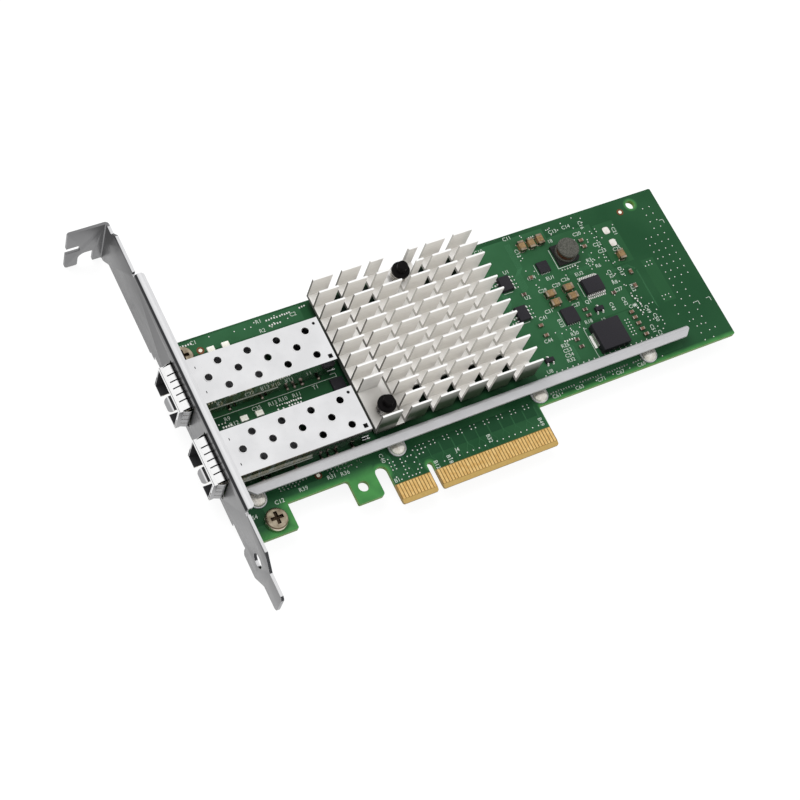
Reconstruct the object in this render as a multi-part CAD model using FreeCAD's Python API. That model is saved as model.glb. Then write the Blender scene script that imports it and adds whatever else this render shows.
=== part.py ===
"""Dual-port network interface card with its mounting bracket, pluggable-module cages and heatsink.

Frame, in millimetres: the origin is the centre of the key slot, on the lower edge of the edge
connector, in the board's component face. +X runs along the card away from the bracket, +Y from the
edge connector to the opposite long edge, and +Z out of the component face.
"""
import FreeCAD, Part
import math
import os

Vector = FreeCAD.Vector

# ---- board -------------------------------------------------------------------------------------
BOARD_LEFT = -57.15          # bracket end of the board
BOARD_LENGTH = 167.65
BOARD_HEIGHT = 67.6          # from the edge connector's lower edge
BOARD_THICKNESS = 1.57
SHOULDER_HEIGHT = 12.8       # lower edge of the board beyond the edge connector
CORNER_RADIUS = 0.5
CONTACT_PITCH = 1.0
SHORT_TAB_CONTACTS = 11
LONG_TAB_CONTACTS = 38
KEY_WIDTH = 1.9
KEY_DEPTH = 8.7
CONTACT_FROM_KEY = 1.5       # key centre to the first contact on either side
CONTACT_TO_TAB_END = 0.65
CONTACT_WIDTH = 0.7
CONTACT_START = 1.3
CONTACT_LENGTH = 4.5
CONTACT_THICKNESS = 0.05
BEVEL_DEPTH = 0.45           # lead-in on both faces of the connector tabs
BEVEL_LENGTH = 1.2
HOOK_SLOT_WIDTH = 3.9
HOOK_SLOT_TOP = 12.6
HOOK_TAB_WIDTH = 8.2
HOOK_TAB_BOTTOM = 4.3
HOOK_HOLE_RADIUS = 1.6
HOOK_HOLE_HEIGHT = 8.9
HOOK_HOLE_INSET = 4.7        # from the hook tab's edge at the slot
INNER_CORNER_RADIUS = 1.0    # hook tab and cut-out
EAR_WIDTH = 14.2             # ear that carries the lower bracket screw
EAR_BOTTOM = 4.2
RELIEF_TOP = 12.1            # upper edge of the cut-out between ear and hook tab
CORNER_HOLE_RADIUS = 1.5
CORNER_HOLE_INSET_X = 9.2
CORNER_HOLE_INSET_Y = 3.2
ROUND_END = 0.49             # corner radius of a round-ended slot, as a share of its width

# ---- bracket -----------------------------------------------------------------------------------
SHEET = 0.86
BRACKET_GAP = 0.89           # board end to the bracket's inner face
BRACKET_HEIGHT = 120.02
BRACKET_TOP = 104.86
BRACKET_WIDTH = 18.42
LIP_TOP = 14.55              # outer face of the stiffening lip
LIP_WIDTH = 2.65
LIP_LOW = 9.7
LIP_HIGH = 84.7
LIP_CORNER = 1.5
BEND_RADIUS = 0.4
RELIEF_WIDTH = 1.2
FLANGE_DEPTH = 11.43
FLANGE_SHIFT = 3.63          # the top flange stands this much nearer the solder side
FLANGE_NECK = 4.3            # height of the narrow neck under the flange
SCREW_NOTCH_WIDTH = 4.6
SCREW_NOTCH_DEPTH = 5.8
SCREW_NOTCH_CENTRE = 5.2     # from the plate's outer face
PRONG_WIDTH = 7.7
PRONG_SLOT = 2.8
PRONG_SLOT_DEPTH = 4.2
TONGUE_LOW_Z = -0.4
TONGUE_WIDTH = 9.6
TONGUE_SHOULDER = -7.4
TONGUE_CORNER = 1.6
TONGUE_SLOPE_TOP = -2.7      # where the plate starts to narrow, on the lip side
TONGUE_SLOPE_BACK = -3.1     # the same on the solder side
PLATE_LIP_INSET = 0.2        # plate below the lip, under the lip's outer face
PLATE_SCREW_BULGE = 0.9      # plate beside the screw tabs, past its standard width
PLATE_CORNER = 1.0
NECK_CORNER = 0.6
EYE_RADIUS = 2.3
EYE_PLACE = (-1.5, 4.3)      # Y, Z

# ---- bracket screws ----------------------------------------------------------------------------
SCREW_HEAD_RADIUS = 3.4
SCREW_HEAD_HEIGHT = 2.3
SCREW_RADIUS = 1.45
SCREW_CLEARANCE = 0.15
THREAD_FIT = 0.03
SCREW_LENGTH = 3.2           # shank below the head
SCREW_PLACES = ((-48.1, 8.5), (-52.5, 62.3))
SCREW_TAB_HALF = 3.3
SCREW_TAB_RELIEF = 0.5       # notch in the plate on each side of a tab's bend
SCREW_TAB_END = 3.9          # tab beyond the screw's centre

# ---- module cages ------------------------------------------------------------------------------
CAGE_CENTRES = {"a": 50.6, "b": 27.65}
CAGE_WIDTH = 14.1
CAGE_LENGTH = 48.3
CAGE_TOP = 9.8
CAGE_STANDOFF = 0.25
CAGE_SHEET = 0.3
CAGE_OVERHANG = 3.9          # mouth in front of the bracket's outer face
CAGE_FIT = 0.05              # between cover and base walls
COVER_SIDE_DEPTH = 4.9
VENT_RADIUS = 1.05
VENT_PITCH = 9.0
VENT_ROW_PITCH = 3.95
VENT_FIRST = {-1: 16.35, 0: 11.9, 1: 16.35}   # first hole of each row, from the mouth
VENT_COUNT = 4
DIMPLE_LENGTH = 0.7
DIMPLE_WIDTH = 0.25
DIMPLE_FROM_MOUTH = 9.6
CLIP_WINDOW = 1.3            # window of the cover's rear clip
CLIP_HOLE_RADIUS = 0.45      # gauge hole at the other rear corner
CLIP_INSET = 0.8
LATCH_TAB_WIDTH = 4.6
LATCH_TAB_LENGTH = 12.0      # from the mouth to the tab's root
LATCH_TAB_SETBACK = 0.5
LATCH_TAB_CORNER = 1.2
LATCH_LIP_LENGTH = 1.7       # front of the tab, bent down as a lead-in
LATCH_LIP_DROP = 1.0
LATCH_RISE = 0.2             # crest of the tab above the floor
LATCH_CREST = 4.3            # crest from the mouth
LATCH_SLIT = 0.7
LATCH_EYE_START = 5.0        # hole that takes a module's boss, from the mouth
LATCH_EYE = 2.6
CAGE_PIN_WIDTH = 0.6
CAGE_PIN_LENGTH = 2.6
CAGE_PIN_FIT = 0.15
CAGE_PIN_FRONT = 9.0         # first pin from the mouth
CAGE_PIN_PITCH = 9.5
CAGE_PIN_COUNT = 4
HOST_OPENING_LENGTH = 15.5   # opening in the base over the host connector, from the cage's rear
HOST_OPENING_WIDTH = 12.0
HOST_OPENING_INSET = 0.9
HOST_INSET = 2.4             # host connector's back to the cage's rear
HOST_LENGTH = 8.6
HOST_WIDTH = 11.2
HOST_TOP = 6.4
HOST_UNDER = 0.6
HOST_SLOPE = (2.2, 1.0)      # length and height of the chamfer over the slot
HOST_SLOT_LOW = 2.6
HOST_SLOT_TOP = 4.1
HOST_SLOT_DEPTH = 5.0
HOST_WALL = 1.0
HOST_FOOT = 1.2
HOST_CONTACTS_PER_ROW = 10
HOST_CONTACT_PITCH = 0.8
HOST_CONTACT_WIDTH = 0.3
HOST_TAIL_BACK = 1.1
HOST_TAIL_FRONT = 0.9
SPRING_SHEET = 0.15
SPRING_BAND = 1.3
SPRING_RISE = 0.75
SPRING_GAP = 0.35
SPRING_BEND = 1.2
SPRING_REACH_IN = 0.3        # finger ends past the bracket's inner face
SPRING_TOP_EDGES = (-7.05, -4.15, -2.07, 0.0, 2.07, 4.15, 7.05)
SPRING_UNDER_EDGES = ((-7.05, -5.1), (-5.1, -3.15), (3.15, 5.1), (5.1, 7.05))
SPRING_SIDE_FINGERS = 4
SPRING_CLEARANCE = 0.1

# ---- heatsink ----------------------------------------------------------------------------------
SINK_LEFT = -11.7
SINK_FIN_LENGTH = 6.35
SINK_COLUMN_PITCH = 9.24
SINK_COLUMNS = 6
SINK_ROW_FIRST = 21.45
SINK_ROW_PITCH = 4.155
SINK_ROWS = 12
SINK_FIN_THICKNESS = 0.6
SINK_TOP = 13.3
SINK_BASE_TOP = 4.7
SINK_BASE_UNDER = 3.5
SINK_PAD_BOTTOM = 2.3        # underside of the pedestal over the controller
SINK_PAD_LOW_Y = 30.8
SINK_PAD_WIDTH = 27.6
SINK_CUT_FLOOR = 3.4         # cross-cuts between the columns
SINK_BOSS_RADIUS = 7.0       # thick base round each push pin
CLEARING_RADIUS = 4.85       # fins cut away round each push pin
CLEARING_SHIFT = (-1.1, 0.8)
PIN_PLACES = ((16.4, 63.8), (-6.7, 26.5))
PIN_RADIUS = 1.4
PIN_HOLE_CLEARANCE = 0.2
PIN_SHOULDER_RADIUS = 1.8
PIN_SHOULDER_LIFT = 0.3      # shoulder above the heatsink's base
PIN_FLANGE_RADIUS = 2.75
PIN_FLANGE_HEIGHT = 1.2
PIN_FLANGE_TOP = 9.0
PIN_FLANGE_CHAMFER = 0.35
PIN_POST_RADIUS = 1.55
PIN_POST_TOP = 11.3
PIN_BARB_RADIUS = 1.9
PIN_BARB_LENGTH = 1.5
PIN_BARB_STEP = 0.4
PIN_SPLIT = 0.5              # width of the slit between the barbs
PIN_SPLIT_TOP = 0.8
COIL_WIRE = 0.24
COIL_RADIUS = 2.35
COIL_TURNS = 3.0
COIL_STEPS = 14              # sections a turn
COIL_SIDES = 6
COIL_FIT = 0.02              # above the base and under the flange
CHIP_SIZE = 25.0
CHIP_SUBSTRATE_TOP = 1.1
CHIP_SEAT = 0.35             # solder balls under the substrate
CHIP_BALL_INSET = 1.0
CHIP_LID_SIZE = 17.0
CHIP_LID_TOP = 2.1

# ---- stiffener ---------------------------------------------------------------------------------
BAR_LEFT = -53.2
BAR_RIGHT = 93.9
BAR_LOW_Y = 15.75
BAR_WIDTH = 3.35
BAR_TOP = 5.0
BAR_SHEET = 0.8
BAR_CORNER = 2.0             # chamfer on the flange's outer corners
BAR_WEB_LIFT = 0.4           # web above the board, between the feet
RIVET_X = (-50.3, -6.7, 40.9, 79.8)
RIVET_Y = 15.85
RIVET_HEAD_RADIUS = 2.35
RIVET_HEAD_HEIGHT = 1.3
RIVET_SHANK_RADIUS = 1.1
RIVET_TAIL_RADIUS = 1.8
RIVET_TAIL_HEIGHT = 0.8
RIVET_TAIL_CHAMFER = 0.3
RIVET_FIT = 0.1
FOOT_RADIUS = 2.6
FOOT_SHEET = 0.6

# ---- small parts -------------------------------------------------------------------------------
# chip parts: length between the end caps, width, height; then the centres of those lying each way
LARGE_CAPACITOR = (3.3, 2.0, 1.7)
LARGE_CAPACITORS_ALONG_X = ((60.2, 44.5), (60.4, 41.3), (66.6, 44.6), (66.6, 41.5))
LARGE_CAPACITORS_ALONG_Y = ((59.6, 62.1), (62.9, 62.1), (66.2, 62.4), (88.8, 49.2))
SMALL_CAPACITOR = (1.6, 0.9, 0.8)
SMALL_CAPACITORS_ALONG_X = ((52.4, 36.1), (52.4, 32.6), (57.4, 51.7), (82.0, 30.5), (82.1, 28.5),
                            (82.2, 26.4), (82.4, 24.3), (82.7, 22.3), (79.0, 58.0), (79.0, 55.8))
SMALL_CAPACITORS_ALONG_Y = ((89.0, 43.0), (87.9, 38.2))
CHIP_RESISTOR = (1.6, 0.9, 0.5)
CHIP_RESISTORS_ALONG_X = ((60.9, 28.1), (61.2, 25.6), (80.1, 38.4), (68.4, 36.3), (68.6, 34.2), (52.6, 47.3))
TERMINAL_SHARE = 0.22        # length of each end cap as a share of the body
TERMINAL_PROUD = 0.04
SEAT_HEIGHT = 0.06           # solder under small parts
STATUS_LED_SIZE = (2.2, 1.7, 0.9)
STATUS_LED_PLACES = ((-43.7, 62.2), (-39.2, 62.2), (-43.7, 39.3), (-39.0, 39.3))

# packages with leads: body size along X and Y, top, leads a side, pitch, reach and width of a lead
INTERFACE_CHIP_CENTRE = (74.5, 42.7)
INTERFACE_CHIP = (6.4, 5.2, 1.75, 10, 0.65, 1.15, 0.3)
MEMORY_CHIP_PLACES = ((48.4, 52.2), (48.6, 41.4))
MEMORY_CHIP = (3.9, 4.9, 1.6, 4, 1.27, 1.0, 0.42)
TRANSISTOR_PLACES = ((72.7, 35.0), (49.3, 24.9))
TRANSISTOR_SIZE = (3.0, 1.5, 1.1)
TRANSISTOR_LEAD_STEP = 0.95
TRANSISTOR_LEAD = (0.7, 0.42)     # reach and width
LEAD_THICKNESS = 0.2
LEAD_KNEE = 0.35             # height of a lead's upper part as a share of the body's top
BODY_SEAT = 0.15
BODY_DRAFT = 0.12

# leadless packages: centre X and Y, size along X and Y, top
POWER_CONTROLLER = (62.8, 53.6, 3.7, 3.6, 0.95)
REGULATOR = (62.8, 36.0, 4.8, 5.2, 1.0)
PORT_CHIP = (-14.0, 39.25, 4.0, 4.9, 1.0)
LEADLESS_DRAFT = 0.02
MOULDED_INDUCTOR = (70.9, 25.7, 9.6, 9.2, 3.0)
MOULDED_TERMINAL = (1.0, 4.4, 1.6)
MOULDED_TERMINAL_SHEET = 0.25
DRUM_CENTRE = (71.8, 55.6)
DRUM_BASE_SIZE = (7.6, 7.0, 0.9)
DRUM_BASE_CHAMFER = 0.9
DRUM_RADIUS = 3.45
DRUM_NECK_RADIUS = 1.9
DRUM_WIRE_RADIUS = 3.05
DRUM_TOP = 4.3
DRUM_RIM = 0.8
DRUM_EDGE = 0.2              # chamfer on the upper rim

# ---- derived places ----------------------------------------------------------------------------
BOARD_RIGHT = BOARD_LEFT + BOARD_LENGTH
BOARD_BACK = -BOARD_THICKNESS
SHORT_TAB_LEFT = -(CONTACT_FROM_KEY + (SHORT_TAB_CONTACTS - 1) * CONTACT_PITCH + CONTACT_TO_TAB_END)
LONG_TAB_RIGHT = CONTACT_FROM_KEY + (LONG_TAB_CONTACTS - 1) * CONTACT_PITCH + CONTACT_TO_TAB_END
HOOK_TAB_RIGHT = SHORT_TAB_LEFT - HOOK_SLOT_WIDTH
HOOK_TAB_LEFT = HOOK_TAB_RIGHT - HOOK_TAB_WIDTH
EAR_RIGHT = BOARD_LEFT + EAR_WIDTH
PLATE_INNER = BOARD_LEFT - BRACKET_GAP
PLATE_OUTER = PLATE_INNER - SHEET
BRACKET_LOW_Y = BRACKET_TOP - BRACKET_HEIGHT
PLATE_BACK = LIP_TOP - BRACKET_WIDTH
FLANGE_TOP = LIP_TOP - FLANGE_SHIFT
FLANGE_BACK = FLANGE_TOP - BRACKET_WIDTH
TAB_BACK = BOARD_BACK - SHEET
CAGE_FRONT = PLATE_OUTER - CAGE_OVERHANG
CAGE_REAR = CAGE_FRONT + CAGE_LENGTH


def box(low, high):
    """Axis-aligned solid between two opposite corners."""
    size = [high[i] - low[i] for i in range(3)]
    return Part.makeBox(size[0], size[1], size[2], Vector(*low))


def rod(radius, start, end):
    """Cylinder between two points."""
    start = Vector(*start)
    axis = Vector(*end) - start
    return Part.makeCylinder(radius, axis.Length, start, axis)


def rounded_wire(corners, place):
    """Closed outline through 2-D corners (a, b) or (a, b, radius), set in space by place(a, b)."""
    count = len(corners)
    entries = []
    for i, corner in enumerate(corners):
        here = Vector(corner[0], corner[1], 0)
        radius = corner[2] if len(corner) > 2 else 0
        if not radius:
            entries.append((here, here, here))
            continue
        before = Vector(*corners[i - 1][:2], 0) - here
        after = Vector(*corners[(i + 1) % count][:2], 0) - here
        before.normalize()
        after.normalize()
        half = before.getAngle(after) / 2
        reach = radius / math.tan(half)
        bisector = before + after
        bisector.normalize()
        middle = here + bisector * (radius / math.sin(half) - radius)
        entries.append((here + before * reach, middle, here + after * reach))
    edges = []
    for i, (start, middle, end) in enumerate(entries):
        if (start - end).Length > 1e-6:
            edges.append(Part.Arc(*[place(p.x, p.y) for p in (start, middle, end)]).toShape())
        following = entries[(i + 1) % count][0]
        if (following - end).Length > 1e-6:
            edges.append(Part.LineSegment(place(end.x, end.y), place(following.x, following.y)).toShape())
    return Part.Wire(edges)


def prism_xy(corners, low, high):
    """Outline in the board's plane, from height low to height high."""
    wire = rounded_wire(corners, lambda a, b: Vector(a, b, low))
    return Part.Face(wire).extrude(Vector(0, 0, high - low))


def prism_yz(corners, low, high):
    """Outline in a plane across the card, from low to high along X."""
    wire = rounded_wire(corners, lambda a, b: Vector(low, a, b))
    return Part.Face(wire).extrude(Vector(high - low, 0, 0))


def prism_xz(corners, low, high):
    """Outline in a plane along the card and square to the board, from low to high along Y."""
    wire = rounded_wire(corners, lambda a, b: Vector(a, low, b))
    return Part.Face(wire).extrude(Vector(0, high - low, 0))


def turned(profile, centre):
    """Solid of revolution about a Z axis through centre (x, y); profile is (radius, z) corners."""
    wire = rounded_wire(profile, lambda a, b: Vector(centre[0] + a, centre[1], b))
    return Part.Face(wire).revolve(Vector(centre[0], centre[1], 0), Vector(0, 0, 1), 360)


def fuse(solids):
    """One solid from several that overlap or share faces."""
    first, rest = solids[0], solids[1:]
    return first.fuse(rest).removeSplitter() if rest else first


def write(name, solids):
    """Write one node's STEP file; solids is a shape or a list of separate ones."""
    shape = Part.makeCompound(solids) if isinstance(solids, list) else solids
    shape.exportStep(os.path.join("parts", name + ".step"))


def cage_pin_places(centre):
    """Where one cage's press-in legs pass through the board."""
    side = CAGE_WIDTH / 2 - CAGE_SHEET - CAGE_FIT - CAGE_SHEET / 2
    return [(CAGE_FRONT + CAGE_PIN_FRONT + i * CAGE_PIN_PITCH, centre + sign * side)
            for i in range(CAGE_PIN_COUNT) for sign in (-1, 1)]


def make_board():
    """Board with its connector tabs, hook tab, ear and every drilled or punched hole."""
    corners = [
        (BOARD_LEFT, EAR_BOTTOM, CORNER_RADIUS),
        (EAR_RIGHT, EAR_BOTTOM, CORNER_RADIUS),
        (EAR_RIGHT, RELIEF_TOP),
        (HOOK_TAB_LEFT, RELIEF_TOP, INNER_CORNER_RADIUS),
        (HOOK_TAB_LEFT, HOOK_TAB_BOTTOM, CORNER_RADIUS),
        (HOOK_TAB_RIGHT, HOOK_TAB_BOTTOM, INNER_CORNER_RADIUS),
        (HOOK_TAB_RIGHT, HOOK_SLOT_TOP, HOOK_SLOT_WIDTH * ROUND_END),
        (SHORT_TAB_LEFT, HOOK_SLOT_TOP, HOOK_SLOT_WIDTH * ROUND_END),
        (SHORT_TAB_LEFT, 0, CORNER_RADIUS),
        (-KEY_WIDTH / 2, 0, CORNER_RADIUS),
        (-KEY_WIDTH / 2, KEY_DEPTH, KEY_WIDTH * ROUND_END),
        (KEY_WIDTH / 2, KEY_DEPTH, KEY_WIDTH * ROUND_END),
        (KEY_WIDTH / 2, 0, CORNER_RADIUS),
        (LONG_TAB_RIGHT, 0, CORNER_RADIUS),
        (LONG_TAB_RIGHT, SHOULDER_HEIGHT, CORNER_RADIUS),
        (BOARD_RIGHT, SHOULDER_HEIGHT, CORNER_RADIUS),
        (BOARD_RIGHT, BOARD_HEIGHT, CORNER_RADIUS),
        (BOARD_LEFT, BOARD_HEIGHT, CORNER_RADIUS),
    ]
    board = prism_xy(corners, BOARD_BACK, 0)
    tools = []
    for face, outwards in ((0, 1), (BOARD_BACK, -1)):
        sunk = face - outwards * BEVEL_DEPTH
        bevel = [(-1, face + outwards), (-1, sunk), (0, sunk), (BEVEL_LENGTH, face),
                 (BEVEL_LENGTH, face + outwards)]
        tools.append(prism_yz(bevel, SHORT_TAB_LEFT - 1, LONG_TAB_RIGHT + 1))
    hook_hole = (HOOK_TAB_RIGHT - HOOK_HOLE_INSET, HOOK_HOLE_HEIGHT)
    corner_hole = (BOARD_RIGHT - CORNER_HOLE_INSET_X, BOARD_HEIGHT - CORNER_HOLE_INSET_Y)
    drilled = [(hook_hole, HOOK_HOLE_RADIUS), (corner_hole, CORNER_HOLE_RADIUS)]
    drilled += [(place, SCREW_RADIUS + SCREW_CLEARANCE) for place in SCREW_PLACES]
    drilled += [(place, PIN_RADIUS + PIN_HOLE_CLEARANCE) for place in PIN_PLACES]
    drilled += [((x, RIVET_Y), RIVET_SHANK_RADIUS + RIVET_FIT) for x in RIVET_X]
    for (x, y), radius in drilled:
        tools.append(rod(radius, (x, y, BOARD_BACK - 1), (x, y, 1)))
    for centre in CAGE_CENTRES.values():
        for x, y in cage_pin_places(centre):
            half_x = CAGE_PIN_WIDTH / 2 + CAGE_PIN_FIT
            half_y = CAGE_SHEET / 2 + CAGE_PIN_FIT
            tools.append(box((x - half_x, y - half_y, BOARD_BACK - 1), (x + half_x, y + half_y, 1)))
    return board.cut(Part.makeCompound(tools))


def make_contacts(low, high):
    """Gold contacts of both connector tabs between two heights."""
    short_tab = [-(CONTACT_FROM_KEY + i * CONTACT_PITCH) for i in range(SHORT_TAB_CONTACTS)]
    long_tab = [CONTACT_FROM_KEY + i * CONTACT_PITCH for i in range(LONG_TAB_CONTACTS)]
    return [box((x - CONTACT_WIDTH / 2, CONTACT_START, low),
                (x + CONTACT_WIDTH / 2, CONTACT_START + CONTACT_LENGTH, high))
            for x in short_tab + long_tab]


def plate_outline():
    """Bracket plate seen along X, as (y, z) corners from the flange down the lip side."""
    bare_edge = LIP_TOP - SHEET
    neck_low = BRACKET_TOP - FLANGE_NECK
    tongue_top = TONGUE_LOW_Z + TONGUE_WIDTH
    tab_low = SCREW_PLACES[0][1] - SCREW_TAB_HALF - SCREW_TAB_RELIEF
    tab_high = SCREW_PLACES[1][1] + SCREW_TAB_HALF + SCREW_TAB_RELIEF + 2.5
    return [
        (BRACKET_TOP - SHEET - BEND_RADIUS, FLANGE_TOP),
        (neck_low, FLANGE_TOP),
        (neck_low - 2.4, bare_edge, NECK_CORNER),
        (LIP_HIGH + RELIEF_WIDTH, bare_edge),
        (LIP_HIGH + RELIEF_WIDTH, bare_edge - RELIEF_WIDTH),
        (LIP_HIGH, bare_edge - RELIEF_WIDTH),
        (LIP_HIGH, bare_edge - BEND_RADIUS),
        (LIP_LOW, bare_edge - BEND_RADIUS),
        (LIP_LOW, bare_edge - RELIEF_WIDTH),
        (LIP_LOW - RELIEF_WIDTH, bare_edge - RELIEF_WIDTH),
        (LIP_LOW - RELIEF_WIDTH, bare_edge - PLATE_LIP_INSET),
        (TONGUE_SLOPE_TOP, bare_edge - PLATE_LIP_INSET, PLATE_CORNER),
        (TONGUE_SHOULDER, tongue_top, PLATE_CORNER),
        (BRACKET_LOW_Y, tongue_top, TONGUE_CORNER),
        (BRACKET_LOW_Y, TONGUE_LOW_Z, TONGUE_CORNER),
        (TONGUE_SHOULDER, TONGUE_LOW_Z, PLATE_CORNER),
        (TONGUE_SLOPE_BACK, PLATE_BACK - PLATE_SCREW_BULGE, PLATE_CORNER),
        (tab_low - 0.6, PLATE_BACK - PLATE_SCREW_BULGE, NECK_CORNER),
        (tab_low, PLATE_BACK + SHEET),
        (tab_high, PLATE_BACK + SHEET),
        (tab_high + 0.3, PLATE_BACK),
        (neck_low - 1.4, PLATE_BACK, PLATE_CORNER),
        (neck_low + 2.2, FLANGE_BACK, NECK_CORNER),
        (BRACKET_TOP - SHEET - BEND_RADIUS, FLANGE_BACK),
    ]


def bend(centre_a, centre_b, start_angle, prism, low, high):
    """Quarter-round sheet bend about (a, b), swept a quarter turn from start_angle degrees."""
    inner, outer = BEND_RADIUS, BEND_RADIUS + SHEET
    quarter = [math.radians(start_angle + step) for step in (0, 45, 90)]
    arcs = [[(centre_a + r * math.cos(t), centre_b + r * math.sin(t)) for t in quarter]
            for r in (inner, outer)]
    return prism(arcs[0], arcs[1], low, high)


def ring_sector(inner, outer, place, sweep):
    """Solid between two arcs of three points each."""
    edges = [Part.Arc(*[place(*p) for p in inner]).toShape(),
             Part.LineSegment(place(*inner[2]), place(*outer[2])).toShape(),
             Part.Arc(*[place(*p) for p in reversed(outer)]).toShape(),
             Part.LineSegment(place(*outer[0]), place(*inner[0])).toShape()]
    return Part.Face(Part.Wire(edges)).extrude(sweep)


def sector_xz(inner, outer, low, high):
    """Sheet bend seen along Y."""
    return ring_sector(inner, outer, lambda a, b: Vector(a, low, b), Vector(0, high - low, 0))


def sector_xy(inner, outer, low, high):
    """Sheet bend seen along Z."""
    return ring_sector(inner, outer, lambda a, b: Vector(a, b, low), Vector(0, 0, high - low))


def sector_yz(inner, outer, low, high):
    """Sheet bend seen along X."""
    return ring_sector(inner, outer, lambda a, b: Vector(low, a, b), Vector(high - low, 0, 0))


def make_flange():
    """Outward top flange with its screw notch and slotted prong, plus the bend into the plate."""
    outer_x = PLATE_OUTER - FLANGE_DEPTH
    bend_x = PLATE_OUTER - BEND_RADIUS
    notch_x = PLATE_OUTER - SCREW_NOTCH_CENTRE
    notch_far = notch_x - SCREW_NOTCH_WIDTH / 2
    notch_near = notch_x + SCREW_NOTCH_WIDTH / 2
    notch_top = FLANGE_BACK + SCREW_NOTCH_DEPTH
    slot_low = FLANGE_BACK + PRONG_WIDTH
    corners = [
        (bend_x, FLANGE_TOP),
        (outer_x, FLANGE_TOP, 0.8),
        (outer_x, slot_low + PRONG_SLOT),
        (outer_x + PRONG_SLOT_DEPTH, slot_low + PRONG_SLOT),
        (outer_x + PRONG_SLOT_DEPTH, slot_low),
        (outer_x, slot_low),
        (outer_x, FLANGE_BACK, 1.2),
        (notch_far, FLANGE_BACK, 0.5),
        (notch_far, notch_top, SCREW_NOTCH_WIDTH * 0.5),
        (notch_near, notch_top, 0.4),
        (notch_near, FLANGE_BACK, 0.4),
        (bend_x, FLANGE_BACK),
    ]
    flange = prism_xz(corners, BRACKET_TOP - SHEET, BRACKET_TOP)
    corner = bend(bend_x, BRACKET_TOP - SHEET - BEND_RADIUS, 0, sector_xy, FLANGE_BACK, FLANGE_TOP)
    return [flange, corner]


def make_lip():
    """Inward lip along the component side of the plate."""
    bend_x = PLATE_INNER + BEND_RADIUS
    bend_z = LIP_TOP - SHEET - BEND_RADIUS
    lip = prism_xy([(bend_x, LIP_LOW), (PLATE_OUTER + LIP_WIDTH, LIP_LOW, LIP_CORNER * 0.7),
                    (PLATE_OUTER + LIP_WIDTH, LIP_HIGH, LIP_CORNER * 0.7), (bend_x, LIP_HIGH)],
                   LIP_TOP - SHEET, LIP_TOP)
    corner = bend(bend_x, bend_z, 90, sector_xz, LIP_LOW, LIP_HIGH)
    return [lip, corner]


def make_screw_tabs():
    """Tabs folded in under the board, tapped for the bracket screws."""
    solids = []
    bend_x = PLATE_INNER + BEND_RADIUS
    bend_z = BOARD_BACK + BEND_RADIUS
    for x, y in SCREW_PLACES:
        low, high = y - SCREW_TAB_HALF, y + SCREW_TAB_HALF
        tab = prism_xy([(bend_x, low), (x + SCREW_TAB_END, low, 1.5), (x + SCREW_TAB_END, high, 1.5),
                        (bend_x, high)], TAB_BACK, BOARD_BACK)
        hole = rod(SCREW_RADIUS + THREAD_FIT, (x, y, TAB_BACK - 1), (x, y, BOARD_BACK + 1))
        corner = bend(bend_x, bend_z, 180, sector_xz, low, high)
        solids += [tab.cut(hole), corner]
    return solids


def make_bracket():
    """Bracket: plate with its cut-outs, outward flange, inward lip and tapped tabs, all one sheet."""
    plate = prism_yz(plate_outline(), PLATE_OUTER, PLATE_INNER)
    tools = []
    for centre in CAGE_CENTRES.values():
        half = CAGE_WIDTH / 2 + SPRING_RISE + SPRING_SHEET + SPRING_CLEARANCE
        top = CAGE_TOP + SPRING_RISE + SPRING_SHEET + SPRING_CLEARANCE
        low = CAGE_STANDOFF - SPRING_RISE - SPRING_SHEET - SPRING_CLEARANCE
        corners = [(centre - half, low, 0.5), (centre + half, low, 0.5),
                   (centre + half, top, 0.5), (centre - half, top, 0.5)]
        tools.append(prism_yz(corners, PLATE_OUTER - 1, PLATE_INNER + 1))
    for x, y in SCREW_PLACES:
        cut = SCREW_TAB_HALF + SCREW_TAB_RELIEF
        tools.append(box((PLATE_OUTER - 1, y - cut, TAB_BACK - 1),
                         (PLATE_INNER + 1, y + cut, BOARD_BACK + BEND_RADIUS)))
    tools.append(rod(EYE_RADIUS, (PLATE_OUTER - 1,) + EYE_PLACE, (PLATE_INNER + 1,) + EYE_PLACE))
    plate = plate.cut(Part.makeCompound(tools))
    return fuse([plate] + make_flange() + make_lip() + make_screw_tabs())


def make_screw(place):
    """Pan-head machine screw with a cross recess, seated on the board."""
    x, y = place
    rim, top = SCREW_HEAD_RADIUS, SCREW_HEAD_HEIGHT
    head = turned([(0, 0), (rim, 0), (rim, top * 0.5), (rim * 0.88, top * 0.85), (rim * 0.6, top),
                   (0, top)], place)
    shank = rod(SCREW_RADIUS, (x, y, -SCREW_LENGTH), (x, y, 0))
    long_arm, short_arm = rim * 0.55, rim * 0.15
    recess_floor = top * 0.4
    recess = fuse([box((x - a, y - b, recess_floor), (x + a, y + b, top + 1))
                   for a, b in ((long_arm, short_arm), (short_arm, long_arm))])
    return head.fuse(shank).cut(recess)


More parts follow.
